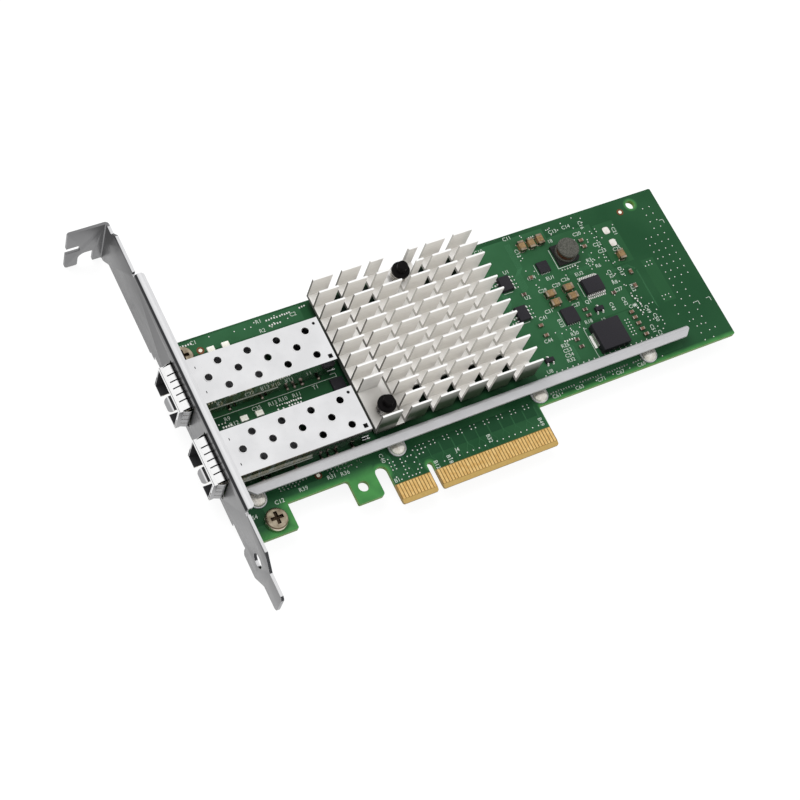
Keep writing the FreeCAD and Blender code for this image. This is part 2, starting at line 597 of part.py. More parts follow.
def make_cage_cover(centre):
    """Upper shell: vented top, rear wall and two short sides outside the base's walls."""
    half = CAGE_WIDTH / 2
    shell = box((CAGE_FRONT, centre - half, CAGE_TOP - COVER_SIDE_DEPTH),
                (CAGE_REAR, centre + half, CAGE_TOP))
    inside = box((CAGE_FRONT - 1, centre - half + CAGE_SHEET, -1),
                 (CAGE_REAR - CAGE_SHEET, centre + half - CAGE_SHEET, CAGE_TOP - CAGE_SHEET))
    rear = box((CAGE_REAR - CAGE_SHEET, centre - half, CAGE_STANDOFF), (CAGE_REAR, centre + half, CAGE_TOP))
    cover = shell.cut(inside).fuse(rear)
    low, high = CAGE_TOP - 1, CAGE_TOP + 1
    tools = []
    for row, first in VENT_FIRST.items():
        y = centre + row * VENT_ROW_PITCH
        for i in range(VENT_COUNT):
            x = CAGE_FRONT + first + i * VENT_PITCH
            tools.append(rod(VENT_RADIUS, (x, y, low), (x, y, high)))
        if row:
            x = CAGE_FRONT + DIMPLE_FROM_MOUTH
            tools.append(box((x - DIMPLE_WIDTH / 2, y - DIMPLE_LENGTH / 2, low),
                             (x + DIMPLE_WIDTH / 2, y + DIMPLE_LENGTH / 2, high)))
    inset = CLIP_INSET + CLIP_WINDOW
    tools.append(box((CAGE_REAR - inset, centre - half + CLIP_INSET, low),
                     (CAGE_REAR - CLIP_INSET, centre - half + inset, high)))
    hole = (CAGE_REAR - inset + CLIP_HOLE_RADIUS, centre + half - inset + CLIP_HOLE_RADIUS)
    tools.append(rod(CLIP_HOLE_RADIUS, hole + (low,), hole + (high,)))
    return cover.cut(Part.makeCompound(tools))


def make_latch_tab(centre):
    """Springy tab in a cage's floor: lead-in bent down at its front, crest and the boss hole."""
    front = CAGE_FRONT + LATCH_TAB_SETBACK
    root = CAGE_FRONT + LATCH_TAB_LENGTH + 0.5
    crest = CAGE_FRONT + LATCH_CREST
    floor, t = CAGE_STANDOFF, CAGE_SHEET
    knee = front + LATCH_LIP_LENGTH
    side = [(front, floor - LATCH_LIP_DROP), (knee, floor + LATCH_RISE * 0.5), (crest, floor + LATCH_RISE),
            (root - 1, floor), (root, floor), (root, floor + t), (root - 1, floor + t),
            (crest, floor + LATCH_RISE + t), (knee - 0.1, floor + LATCH_RISE * 0.5 + t),
            (front, floor - LATCH_LIP_DROP + 1.2 * t)]
    half = LATCH_TAB_WIDTH / 2
    blank = prism_xy([(front, centre - half, LATCH_TAB_CORNER), (root, centre - half), (root, centre + half),
                      (front, centre + half, LATCH_TAB_CORNER)], -2, 2)
    tab = prism_xz(side, centre - half, centre + half).common(blank)
    start = CAGE_FRONT + LATCH_EYE_START
    eye = prism_xy([(start, centre), (start + LATCH_EYE, centre - LATCH_EYE / 2),
                    (start + LATCH_EYE, centre + LATCH_EYE / 2)], -2, 2)
    return tab.cut(eye)


def make_cage_base(centre):
    """Lower shell: floor with the latch tab, inner walls and the press-in legs."""
    half = CAGE_WIDTH / 2 - CAGE_SHEET - CAGE_FIT
    top = CAGE_TOP - CAGE_SHEET - CAGE_FIT
    rear = CAGE_REAR - CAGE_SHEET - CAGE_FIT
    shell = box((CAGE_FRONT, centre - half, CAGE_STANDOFF), (rear, centre + half, top))
    inside = box((CAGE_FRONT - 1, centre - half + CAGE_SHEET, CAGE_STANDOFF + CAGE_SHEET),
                 (rear + 1, centre + half - CAGE_SHEET, top + 1))
    window = LATCH_TAB_WIDTH / 2 + LATCH_SLIT
    tools = [box((CAGE_FRONT - 1, centre - window, -1), (CAGE_FRONT + LATCH_TAB_LENGTH, centre + window, 1)),
             box((CAGE_REAR - HOST_OPENING_LENGTH, centre - HOST_OPENING_WIDTH / 2, -1),
                 (CAGE_REAR - HOST_OPENING_INSET, centre + HOST_OPENING_WIDTH / 2, 1))]
    base = shell.cut(inside).cut(Part.makeCompound(tools))
    legs = [box((x - CAGE_PIN_WIDTH / 2, y - CAGE_SHEET / 2, -CAGE_PIN_LENGTH),
                (x + CAGE_PIN_WIDTH / 2, y + CAGE_SHEET / 2, CAGE_STANDOFF + 0.5))
            for x, y in cage_pin_places(centre)]
    return fuse([base, make_latch_tab(centre)] + legs)


def spring_finger(start, length):
    """Arched spring strip along X, bulging outwards, as (x, outwards, corner radius) corners."""
    middle, end, t = start + length / 2, start + length, SPRING_SHEET
    return [(start, 0), (middle, SPRING_RISE, SPRING_BEND), (end, t), (end, 2 * t),
            (middle, SPRING_RISE + t, SPRING_BEND + t), (start, t)]


def make_cage_spring(centre):
    """Spring collar round the mouth, open at the latch tab; its fingers press on the bracket."""
    half = CAGE_WIDTH / 2
    t = SPRING_SHEET
    low, top = CAGE_STANDOFF, CAGE_TOP
    outer = box((CAGE_FRONT, centre - half - t, low - t),
                (CAGE_FRONT + SPRING_BAND, centre + half + t, top + t))
    inner = box((CAGE_FRONT - 1, centre - half, low), (CAGE_REAR, centre + half, top))
    window = LATCH_TAB_WIDTH / 2 + LATCH_SLIT
    gap = box((CAGE_FRONT - 1, centre - window, low - 1), (CAGE_REAR, centre + window, low + 1))
    solids = [outer.cut(inner).cut(gap)]
    length = CAGE_OVERHANG + SHEET - SPRING_BAND + SPRING_REACH_IN
    strip = spring_finger(CAGE_FRONT + SPRING_BAND, length)
    trim = SPRING_GAP / 2
    over = [(a, top + b) + tuple(radius) for a, b, *radius in strip]
    under = [(a, low - b) + tuple(radius) for a, b, *radius in strip]
    for first, last in zip(SPRING_TOP_EDGES, SPRING_TOP_EDGES[1:]):
        solids.append(prism_xz(over, centre + first + trim, centre + last - trim))
    for first, last in SPRING_UNDER_EDGES:
        solids.append(prism_xz(under, centre + first + trim, centre + last - trim))
    pitch = (top - low) / SPRING_SIDE_FINGERS
    for i in range(SPRING_SIDE_FINGERS):
        z = low + i * pitch
        for sign in (-1, 1):
            side = [(a, centre + sign * (half + b)) + tuple(radius) for a, b, *radius in strip]
            solids.append(prism_xy(side, z + trim, z + pitch - trim))
    return fuse(solids)


def make_host_connector(centre):
    """Surface-mount receptacle at the back of a cage, with its card slot."""
    rear = CAGE_REAR - HOST_INSET
    front = rear - HOST_LENGTH
    half = HOST_WIDTH / 2
    slope, drop = HOST_SLOPE
    body = prism_xz([(front, HOST_UNDER), (front, HOST_TOP - drop), (front + slope, HOST_TOP),
                     (rear, HOST_TOP), (rear, HOST_UNDER)], centre - half, centre + half)
    slot = box((front - 1, centre - half + HOST_WALL, HOST_SLOT_LOW),
               (front + HOST_SLOT_DEPTH, centre + half - HOST_WALL, HOST_SLOT_TOP))
    feet = []
    for y in (centre - half, centre + half - HOST_FOOT):
        feet.append(box((front + HOST_FOOT, y, 0), (front + 2 * HOST_FOOT, y + HOST_FOOT, HOST_UNDER)))
    return fuse([body.cut(slot)] + feet)


def make_host_contacts(centre):
    """Solder tails along the front and the back of a host connector."""
    rear = CAGE_REAR - HOST_INSET
    front = rear - HOST_LENGTH
    half = HOST_CONTACT_WIDTH / 2
    tails = []
    for i in range(HOST_CONTACTS_PER_ROW):
        y = centre + (i - (HOST_CONTACTS_PER_ROW - 1) / 2) * HOST_CONTACT_PITCH
        for low, high in ((rear, rear + HOST_TAIL_BACK), (front - HOST_TAIL_FRONT, front)):
            tails.append(box((low, y - half, 0), (high, y + half, HOST_UNDER)))
    return tails


def make_heatsink():
    """Extruded fins on a base with a pedestal and two bosses, cross-cut and cleared for the push pins."""
    right = SINK_LEFT + (SINK_COLUMNS - 1) * SINK_COLUMN_PITCH + SINK_FIN_LENGTH
    half_fin = SINK_FIN_THICKNESS / 2
    first = SINK_ROW_FIRST - half_fin
    last = SINK_ROW_FIRST + (SINK_ROWS - 1) * SINK_ROW_PITCH + half_fin
    pad_high_y = SINK_PAD_LOW_Y + SINK_PAD_WIDTH
    profile = [(first, SINK_BASE_UNDER), (SINK_PAD_LOW_Y, SINK_BASE_UNDER),
               (SINK_PAD_LOW_Y, SINK_PAD_BOTTOM), (pad_high_y, SINK_PAD_BOTTOM),
               (pad_high_y, SINK_BASE_UNDER), (last, SINK_BASE_UNDER)]
    for i in reversed(range(SINK_ROWS)):
        y = SINK_ROW_FIRST + i * SINK_ROW_PITCH
        profile += [(y + half_fin, SINK_TOP), (y - half_fin, SINK_TOP)]
        if i:
            profile += [(y - half_fin, SINK_BASE_TOP), (y - SINK_ROW_PITCH + half_fin, SINK_BASE_TOP)]
    sink = prism_yz(profile, SINK_LEFT, right)
    limits = box((SINK_LEFT, first, 0), (right, last, SINK_TOP))
    for x, y in PIN_PLACES:
        boss = rod(SINK_BOSS_RADIUS, (x, y, SINK_PAD_BOTTOM), (x, y, SINK_BASE_TOP))
        sink = sink.fuse(boss.common(limits))
    tools = []
    for i in range(SINK_COLUMNS - 1):
        x = SINK_LEFT + i * SINK_COLUMN_PITCH + SINK_FIN_LENGTH
        tools.append(box((x, first - 1, SINK_CUT_FLOOR),
                         (x + SINK_COLUMN_PITCH - SINK_FIN_LENGTH, last + 1, SINK_TOP + 1)))
    for x, y in PIN_PLACES:
        clear = (x + CLEARING_SHIFT[0], y + CLEARING_SHIFT[1])
        tools.append(rod(CLEARING_RADIUS, clear + (SINK_BASE_TOP,), clear + (SINK_TOP + 1,)))
        tools.append(rod(PIN_RADIUS + PIN_HOLE_CLEARANCE, (x, y, 0), (x, y, SINK_TOP)))
    for tool in tools:
        sink = sink.cut(tool)
    return sink.removeSplitter()


def make_controller_chip():
    """Flip-chip package under the heatsink: substrate with a metal lid."""
    middle = SINK_ROW_FIRST + (SINK_ROWS - 1) * SINK_ROW_PITCH / 2
    centre = SINK_LEFT + ((SINK_COLUMNS - 1) * SINK_COLUMN_PITCH + SINK_FIN_LENGTH) / 2
    half, lid = CHIP_SIZE / 2, CHIP_LID_SIZE / 2
    balls = half - CHIP_BALL_INSET
    stack = [box((centre - reach, middle - reach, low), (centre + reach, middle + reach, high))
             for reach, low, high in ((balls, 0, CHIP_SEAT), (half, CHIP_SEAT, CHIP_SUBSTRATE_TOP),
                                      (lid, CHIP_SUBSTRATE_TOP, CHIP_LID_TOP))]
    pad = box((centre - lid, middle - lid, CHIP_LID_TOP), (centre + lid, middle + lid, SINK_PAD_BOTTOM))
    return fuse(stack), pad


def make_push_pin(place):
    """Plastic push pin: post, flange over the spring, shank through the heatsink and split barb."""
    x, y = place
    barb_low = BOARD_BACK - PIN_BARB_LENGTH
    shoulder_low = SINK_BASE_TOP + PIN_SHOULDER_LIFT
    flange_low = PIN_FLANGE_TOP - PIN_FLANGE_HEIGHT
    bevel = PIN_FLANGE_CHAMFER
    profile = [(0, barb_low), (PIN_RADIUS * 0.7, barb_low), (PIN_BARB_RADIUS, BOARD_BACK - PIN_BARB_STEP),
               (PIN_BARB_RADIUS, BOARD_BACK), (PIN_RADIUS, BOARD_BACK), (PIN_RADIUS, shoulder_low),
               (PIN_SHOULDER_RADIUS, shoulder_low), (PIN_SHOULDER_RADIUS, flange_low),
               (PIN_FLANGE_RADIUS, flange_low), (PIN_FLANGE_RADIUS, PIN_FLANGE_TOP - bevel),
               (PIN_FLANGE_RADIUS - bevel, PIN_FLANGE_TOP), (PIN_POST_RADIUS, PIN_FLANGE_TOP),
               (PIN_POST_RADIUS, PIN_POST_TOP), (0, PIN_POST_TOP)]
    pin = turned(profile, place)
    return pin.cut(box((x - PIN_SPLIT / 2, y - PIN_FLANGE_RADIUS, barb_low - 1),
                       (x + PIN_SPLIT / 2, y + PIN_FLANGE_RADIUS, PIN_SPLIT_TOP)))


def make_pin_spring(place):
    """Compression spring between the heatsink's base and a push pin's flange."""
    low = SINK_BASE_TOP + COIL_WIRE + COIL_FIT
    high = PIN_FLANGE_TOP - PIN_FLANGE_HEIGHT - COIL_WIRE - COIL_FIT
    steps = round(COIL_TURNS * COIL_STEPS)
    sections = []
    for i in range(steps + 1):
        turn = 2 * math.pi * i / COIL_STEPS
        outwards = Vector(math.cos(turn), math.sin(turn), 0)
        middle = Vector(place[0], place[1], low + (high - low) * i / steps) + outwards * COIL_RADIUS
        corners = []
        for k in range(COIL_SIDES):
            angle = 2 * math.pi * k / COIL_SIDES
            upwards = Vector(0, 0, COIL_WIRE * math.sin(angle))
            corners.append(middle + outwards * COIL_WIRE * math.cos(angle) + upwards)
        sections.append(Part.makePolygon(corners + corners[:1]))
    return Part.makeLoft(sections, True, True)


def make_stiffener():
    """Folded bar: top flange, upright web and round riveted feet."""
    high_y = BAR_LOW_Y + BAR_WIDTH
    edge_y = high_y - BAR_SHEET - BEND_RADIUS
    top = prism_xy([(BAR_LEFT, edge_y), (BAR_LEFT, BAR_LOW_Y + BAR_CORNER),
                    (BAR_LEFT + BAR_CORNER, BAR_LOW_Y),
                    (BAR_RIGHT - BAR_CORNER, BAR_LOW_Y), (BAR_RIGHT, BAR_LOW_Y + BAR_CORNER),
                    (BAR_RIGHT, edge_y)], BAR_TOP - BAR_SHEET, BAR_TOP)
    corner = bend(edge_y, BAR_TOP - BAR_SHEET - BEND_RADIUS, 0, sector_yz, BAR_LEFT, BAR_RIGHT)
    web = box((BAR_LEFT, high_y - BAR_SHEET, BAR_WEB_LIFT),
              (BAR_RIGHT, high_y, BAR_TOP - BAR_SHEET - BEND_RADIUS))
    solids = [top, corner, web]
    for x in RIVET_X:
        foot = fuse([rod(FOOT_RADIUS, (x, RIVET_Y, 0), (x, RIVET_Y, FOOT_SHEET)),
                     box((x - FOOT_RADIUS, RIVET_Y, 0), (x + FOOT_RADIUS, high_y, FOOT_SHEET))])
        solids.append(foot.cut(rod(RIVET_SHANK_RADIUS + RIVET_FIT, (x, RIVET_Y, -1), (x, RIVET_Y, 2))))
    return fuse(solids)


def make_rivet(x):
    """Dome-head rivet through a foot and the board, upset on the solder side."""
    tail_low = BOARD_BACK - RIVET_TAIL_HEIGHT
    rim = RIVET_TAIL_RADIUS
    head_top = FOOT_SHEET + RIVET_HEAD_HEIGHT
    profile = [(0, tail_low), (rim - RIVET_TAIL_CHAMFER, tail_low), (rim, BOARD_BACK),
               (RIVET_SHANK_RADIUS, BOARD_BACK), (RIVET_SHANK_RADIUS, FOOT_SHEET),
               (RIVET_HEAD_RADIUS, FOOT_SHEET),
               (RIVET_HEAD_RADIUS * 0.85, FOOT_SHEET + RIVET_HEAD_HEIGHT * 0.6),
               (RIVET_HEAD_RADIUS * 0.45, head_top), (0, head_top)]
    return turned(profile, (x, RIVET_Y))


def two_terminal(size, along_x, along_y):
    """Bodies and metal end caps of chip parts lying along X and along Y at the given centres."""
    length, width, height = size
    cap = length * TERMINAL_SHARE
    bodies, caps = [], []
    for places, lies_along_x in ((along_x, True), (along_y, False)):
        for x, y in places:
            def block(start, end, half, low, high):
                if lies_along_x:
                    return box((x + start, y - half, low), (x + end, y + half, high))
                return box((x - half, y + start, low), (x + half, y + end, high))
            inner, outer = length / 2 - cap, length / 2
            bodies.append(block(-inner, inner, width / 2, SEAT_HEIGHT, height))
            for start, end in ((-outer, -inner), (inner, outer)):
                caps.append(block(start, end, width / 2 + TERMINAL_PROUD, 0, height + TERMINAL_PROUD))
    return bodies, caps


def moulded_body(place, size, low, top, draft=BODY_DRAFT):
    """Moulded package whose four sides lean in towards the top."""
    rings = []
    for z, inset in ((low, 0), (top, draft)):
        half_x, half_y = size[0] / 2 - inset, size[1] / 2 - inset
        corners = [Vector(place[0] + a * half_x, place[1] + b * half_y, z)
                   for a, b in ((-1, -1), (1, -1), (1, 1), (-1, 1), (-1, -1))]
        rings.append(Part.makePolygon(corners))
    return Part.makeLoft(rings, True, True)


def gull_wing(start, sign, reach, knee, width, centre_across, prism):
    """One gull-wing lead from a body side at start, reaching outwards by sign, down to the board."""
    t = LEAD_THICKNESS
    shoulder, heel = reach * 0.45, reach * 0.6
    lean = t * 0.7
    corners = [(0, knee), (shoulder, knee), (heel, 0), (reach, 0), (reach, t), (heel + lean, t),
               (shoulder + lean, knee + t), (0, knee + t)]
    outline = [(start + sign * a, b) for a, b in corners]
    return prism(outline, centre_across - width / 2, centre_across + width / 2)


def make_interface_chip():
    """Small-outline package with leads along its two long Y sides."""
    size_x, size_y, top, count, pitch, reach, width = INTERFACE_CHIP
    x, y = INTERFACE_CHIP_CENTRE
    body = moulded_body((x, y), (size_x, size_y), BODY_SEAT, top)
    leads = []
    for i in range(count):
        across = x + (i - (count - 1) / 2) * pitch
        for sign in (-1, 1):
            side = y + sign * size_y / 2
            leads.append(gull_wing(side, sign, reach, top * LEAD_KNEE, width, across, prism_yz))
    return body, leads


def make_memory_chips():
    """Eight-lead packages with leads on their X sides."""
    size_x, size_y, top, count, pitch, reach, width = MEMORY_CHIP
    bodies, leads = [], []
    for x, y in MEMORY_CHIP_PLACES:
        bodies.append(moulded_body((x, y), (size_x, size_y), BODY_SEAT, top))
        for i in range(count):
            across = y + (i - (count - 1) / 2) * pitch
            for sign in (-1, 1):
                side = x + sign * size_x / 2
                leads.append(gull_wing(side, sign, reach, top * LEAD_KNEE, width, across, prism_xz))
    return bodies, leads


def make_transistors():
    """Small three-lead packages, two leads on one long side and one on the other."""
    size_x, size_y, top = TRANSISTOR_SIZE
    reach, width = TRANSISTOR_LEAD
    bodies, leads = [], []
    for x, y in TRANSISTOR_PLACES:
        bodies.append(moulded_body((x, y), (size_x, size_y), BODY_SEAT, top))
        for dx, sign in ((-TRANSISTOR_LEAD_STEP, -1), (TRANSISTOR_LEAD_STEP, -1), (0, 1)):
            side = y + sign * size_y / 2
            leads.append(gull_wing(side, sign, reach, top * LEAD_KNEE, width, x + dx, prism_yz))
    return bodies, leads


def flat_package(values):
    """Leadless package standing on its solder."""
    x, y, size_x, size_y, top = values
    return moulded_body((x, y), (size_x, size_y), SEAT_HEIGHT, top, LEADLESS_DRAFT)


def make_moulded_inductor():
    """Moulded power inductor and its two folded end terminals."""
    x, y, size_x, size_y, top = MOULDED_INDUCTOR
    reach, width, height = MOULDED_TERMINAL
    body = box((x - size_x / 2, y - size_y / 2, SEAT_HEIGHT), (x + size_x / 2, y + size_y / 2, top))
    terminals = []
    for sign in (-1, 1):
        side = x + sign * size_x / 2
        profile = [(0, 0), (reach, 0), (reach, 2 * SEAT_HEIGHT), (MOULDED_TERMINAL_SHEET, 2 * SEAT_HEIGHT),
                   (MOULDED_TERMINAL_SHEET, height), (0, height)]
        terminals.append(prism_xz([(side + sign * a, b) for a, b in profile], y - width / 2, y + width / 2))
    return body, terminals


def make_drum_inductor():
    """Wound drum-core inductor: moulded base, ferrite drum and copper winding."""
    x, y = DRUM_CENTRE
    size_x, size_y, base_top = DRUM_BASE_SIZE
    half_x, half_y, chamfer = size_x / 2, size_y / 2, DRUM_BASE_CHAMFER
    base = prism_xy([(x - half_x, y - half_y), (x + half_x - chamfer, y - half_y),
                     (x + half_x, y - half_y + chamfer), (x + half_x, y + half_y - chamfer),
                     (x + half_x - chamfer, y + half_y), (x - half_x, y + half_y)], 0, base_top)
    groove_low, groove_top = base_top + DRUM_RIM, DRUM_TOP - DRUM_RIM
    drum = turned([(0, base_top), (DRUM_RADIUS, base_top), (DRUM_RADIUS, groove_low),
                   (DRUM_NECK_RADIUS, groove_low), (DRUM_NECK_RADIUS, groove_top), (DRUM_RADIUS, groove_top),
                   (DRUM_RADIUS, DRUM_TOP - DRUM_EDGE), (DRUM_RADIUS - DRUM_EDGE, DRUM_TOP), (0, DRUM_TOP)],
                  (x, y))
    winding = turned([(DRUM_NECK_RADIUS, groove_low), (DRUM_WIRE_RADIUS, groove_low),
                      (DRUM_WIRE_RADIUS, groove_top), (DRUM_NECK_RADIUS, groove_top)], (x, y))
    return base, drum, winding


def main():
    """Write every node's STEP file into parts."""
    os.makedirs("parts", exist_ok=True)
    write("pcb", make_board())
    write("contacts_component_side", make_contacts(0, CONTACT_THICKNESS))
    write("contacts_solder_side", make_contacts(BOARD_BACK - CONTACT_THICKNESS, BOARD_BACK))
    write("bracket", make_bracket())
    write("bracket_screws", [make_screw(place) for place in SCREW_PLACES])
    for letter, centre in CAGE_CENTRES.items():
        write("cage_cover_" + letter, make_cage_cover(centre))
        write("cage_base_" + letter, make_cage_base(centre))
        write("cage_spring_" + letter, make_cage_spring(centre))
        write("host_connector_" + letter, make_host_connector(centre))
        write("host_contacts_" + letter, make_host_contacts(centre))
    write("heatsink", make_heatsink())
    chip, pad = make_controller_chip()
    write("controller_chip", chip)
    write("thermal_pad", pad)
    write("push_pins", [make_push_pin(place) for place in PIN_PLACES])
    write("push_pin_springs", [make_pin_spring(place) for place in PIN_PLACES])
    write("stiffener_bar", make_stiffener())
    write("stiffener_rivets", [make_rivet(x) for x in RIVET_X])
    for name, size, along_x, along_y in (
            ("large_capacitor", LARGE_CAPACITOR, LARGE_CAPACITORS_ALONG_X, LARGE_CAPACITORS_ALONG_Y),
            ("small_capacitor", SMALL_CAPACITOR, SMALL_CAPACITORS_ALONG_X, SMALL_CAPACITORS_ALONG_Y),
            ("resistor", CHIP_RESISTOR, CHIP_RESISTORS_ALONG_X, ())):
        bodies, caps = two_terminal(size, along_x, along_y)
        write(name + "s", bodies)
        write(name + "_terminals", caps)
    size_x, size_y, height = STATUS_LED_SIZE
    write("status_leds", [box((x - size_x / 2, y - size_y / 2, 0), (x + size_x / 2, y + size_y / 2, height))
                          for x, y in STATUS_LED_PLACES])
    body, leads = make_interface_chip()
    write("interface_chip", body)
    write("interface_chip_leads", leads)
    bodies, leads = make_memory_chips()
    write("memory_chips", bodies)
    write("memory_chip_leads", leads)
    bodies, leads = make_transistors()
    write("transistors", bodies)
    write("transistor_leads", leads)
    write("power_controller", flat_package(POWER_CONTROLLER))
    write("regulator", flat_package(REGULATOR))
    write("port_chip", flat_package(PORT_CHIP))
    body, terminals = make_moulded_inductor()
    write("moulded_inductor", body)
    write("moulded_inductor_terminals", terminals)
    base, drum, winding = make_drum_inductor()
    write("drum_inductor_base", base)
    write("drum_inductor_core", drum)
    write("drum_inductor_winding", winding)


main()
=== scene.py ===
"""Finishes, surface detail, lights and camera for the network interface card.

Places are in millimetres in the card's own frame, as in the solids, and become metres in the
meshes: the origin is the key slot on the connector's lower edge in the component face, +X runs away
from the bracket, +Y to the opposite long edge and +Z out of the component face.
"""
import math
import random

import bmesh
import bpy
from mathutils import Matrix, Vector


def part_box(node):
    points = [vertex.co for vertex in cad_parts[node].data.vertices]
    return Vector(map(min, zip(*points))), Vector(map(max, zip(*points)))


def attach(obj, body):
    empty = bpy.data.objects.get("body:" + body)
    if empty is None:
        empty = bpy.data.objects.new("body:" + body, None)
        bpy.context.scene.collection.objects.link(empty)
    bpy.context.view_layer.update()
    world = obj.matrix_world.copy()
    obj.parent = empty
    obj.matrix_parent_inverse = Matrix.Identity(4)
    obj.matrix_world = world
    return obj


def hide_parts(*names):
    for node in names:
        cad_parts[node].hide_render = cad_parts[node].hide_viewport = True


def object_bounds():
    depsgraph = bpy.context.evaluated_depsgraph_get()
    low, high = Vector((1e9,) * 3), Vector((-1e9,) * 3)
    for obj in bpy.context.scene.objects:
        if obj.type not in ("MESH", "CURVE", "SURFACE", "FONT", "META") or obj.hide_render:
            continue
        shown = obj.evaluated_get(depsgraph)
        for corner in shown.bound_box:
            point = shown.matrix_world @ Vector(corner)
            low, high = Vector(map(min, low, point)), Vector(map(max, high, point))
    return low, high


MM = 0.001
BODY = "root"

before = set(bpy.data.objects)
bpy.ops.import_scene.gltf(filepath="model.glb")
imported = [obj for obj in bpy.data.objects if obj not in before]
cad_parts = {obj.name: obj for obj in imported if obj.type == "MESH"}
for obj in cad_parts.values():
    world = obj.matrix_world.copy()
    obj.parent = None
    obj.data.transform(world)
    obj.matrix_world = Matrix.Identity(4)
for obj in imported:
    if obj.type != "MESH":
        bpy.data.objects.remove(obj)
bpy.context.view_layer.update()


def node_box(name):
    """Lowest and highest corner of a solid's node, in millimetres."""
    low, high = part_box(name)
    return Vector(low) / MM, Vector(high) / MM


# ---- places taken from the solids
BOARD_LOW = node_box("pcb")[0]
CONTACTS_LOW, CONTACTS_HIGH = node_box("contacts_component_side")
CAGES = {letter: node_box("cage_cover_" + letter) for letter in "ab"}
PIN_LOW = node_box("push_pins")[0]
SINK_LOW, SINK_HIGH = node_box("heatsink")

# ---- heights of what is printed or plated on the board
POUR_HEIGHT = 0.012
TRACE_HEIGHT = 0.024
PAD_HEIGHT = 0.05
LETTER_HEIGHT = 0.04
SEAT = -0.004                 # overlays start just inside the surface that carries them


# ---- Materials
def feed(tree, target, value):
    """Links a socket's output to an input, or writes a plain value to it."""
    if isinstance(value, bpy.types.NodeSocket):
        tree.links.new(value, target)
    else:
        target.default_value = value


def add_node(tree, kind, *by_place, output=0, **values):
    """Adds a node, sets its properties, fills inputs by name or by place and returns an output."""
    made = tree.nodes.new(kind)
    for key, value in values.items():
        label = key.replace("_", " ")
        if label in made.inputs:
            feed(tree, made.inputs[label], value)
        else:
            setattr(made, key, value)
    for place, value in enumerate(by_place):
        feed(tree, made.inputs[place], value)
    return made.outputs[output]


def linked(name, data):
    """A new object in the scene."""
    made = bpy.data.objects.new(name, data)
    bpy.context.scene.collection.objects.link(made)
    return made


class Finish:
    """A procedural finish under construction on a Principled shader."""

    def __init__(self, name, colour, roughness, metallic=0.0, **sockets):
        self.material = bpy.data.materials.new(name)
        self.material.use_nodes = True
        self.tree = self.material.node_tree
        self.shader = self.tree.nodes["Principled BSDF"]
        self.put("Base Color", (*colour, 1.0))
        self.put("Roughness", roughness)
        self.put("Metallic", metallic)
        for socket, value in sockets.items():
            self.put(socket.replace("_", " "), value)

    def put(self, socket, value):
        """Feeds one of the shader's inputs."""
        feed(self.tree, self.shader.inputs[socket], value)

    def node(self, kind, *by_place, **values):
        return add_node(self.tree, kind, *by_place, **values)

    def place(self, stretch=(1.0, 1.0, 1.0)):
        """Object coordinates in millimetres, stretched along the frame's axes."""
        scaled = [s / MM for s in stretch]
        return self.node("ShaderNodeMapping", Vector=self.node("ShaderNodeTexCoord", output=3), Scale=scaled)

    def noise(self, per_mm, detail=3.0, stretch=(1.0, 1.0, 1.0)):
        """Cloudy value from 0 to 1, with so many features a millimetre."""
        return self.node("ShaderNodeTexNoise", Vector=self.place(stretch), Scale=per_mm, Detail=detail)

    def spread(self, value, low, high, start=0.3, end=0.7):
        """Maps a value between start and end to a range."""
        return self.node("ShaderNodeMapRange", Value=value, From_Min=start, From_Max=end,
                         To_Min=low, To_Max=high)

    def rise(self, value, start=0.3, end=0.7):
        """0 below start and 1 above end."""
        return self.spread(value, 0.0, 1.0, start, end)

    def fall(self, value, start=0.3, end=0.7):
        """1 below start and 0 above end."""
        return self.spread(value, 1.0, 0.0, start, end)

    def blend(self, factor, first, second):
        """Mix of two colours."""
        made = self.tree.nodes.new("ShaderNodeMix")
        made.data_type = "RGBA"
        for place, value in ((0, factor), (6, first), (7, second)):
            feed(self.tree, made.inputs[place], (*value, 1.0) if isinstance(value, tuple) else value)
        return made.outputs[2]

    def layers(self, colour, *over):
        """Lays further colours over the first, each through its own mask."""
        for mask, tone in over:
            colour = self.blend(mask, colour, tone)
        return colour

    def math(self, operation, first, second):
        """Math node on two values."""
        return self.node("ShaderNodeMath", first, second, operation=operation)

    def leaning(self, axis):
        """Signed part of the surface normal along X, Y or Z, from -1 to 1."""
        normal = self.node("ShaderNodeNewGeometry", output=1)
        return self.node("ShaderNodeSeparateXYZ", normal, output="XYZ".index(axis))

    def facing(self, axis):
        """Size of the surface normal's part along X, Y or Z, from 0 to 1."""
        return self.math("ABSOLUTE", self.leaning(axis), 0.0)

    def both(self, first, second):
        """Product of two masks."""
        return self.math("MULTIPLY", first, second)

    def either(self, first, second):
        """Larger of two masks."""
        return self.math("MAXIMUM", first, second)

    def between(self, value, low, high, soft=0.05):
        """1 where a value lies between two limits."""
        return self.both(self.rise(value, low - soft, low), self.fall(value, high, high + soft))

    def away(self, x, y):
        """Distance in the board's plane from an upright line, in millimetres."""
        return self.node("ShaderNodeVectorMath", self.place((1.0, 1.0, 0.0)), (x, y, 0.0),
                         operation="DISTANCE", output="Value")

    def along(self, axis):
        """Place along X, Y or Z in millimetres."""
        return self.node("ShaderNodeSeparateXYZ", self.place(), output="XYZ".index(axis))

    def done(self, colour, roughness=None, *relief):
        """Feeds the shader; relief is a height, its strength and its depth in millimetres."""
        self.put("Base Color", colour)
        if roughness is not None:
            self.put("Roughness", roughness)
        if relief:
            height, strength, depth = relief
            self.put("Normal", self.node("ShaderNodeBump", Height=height, Strength=strength,
                                         Distance=depth * MM))
        return self.material


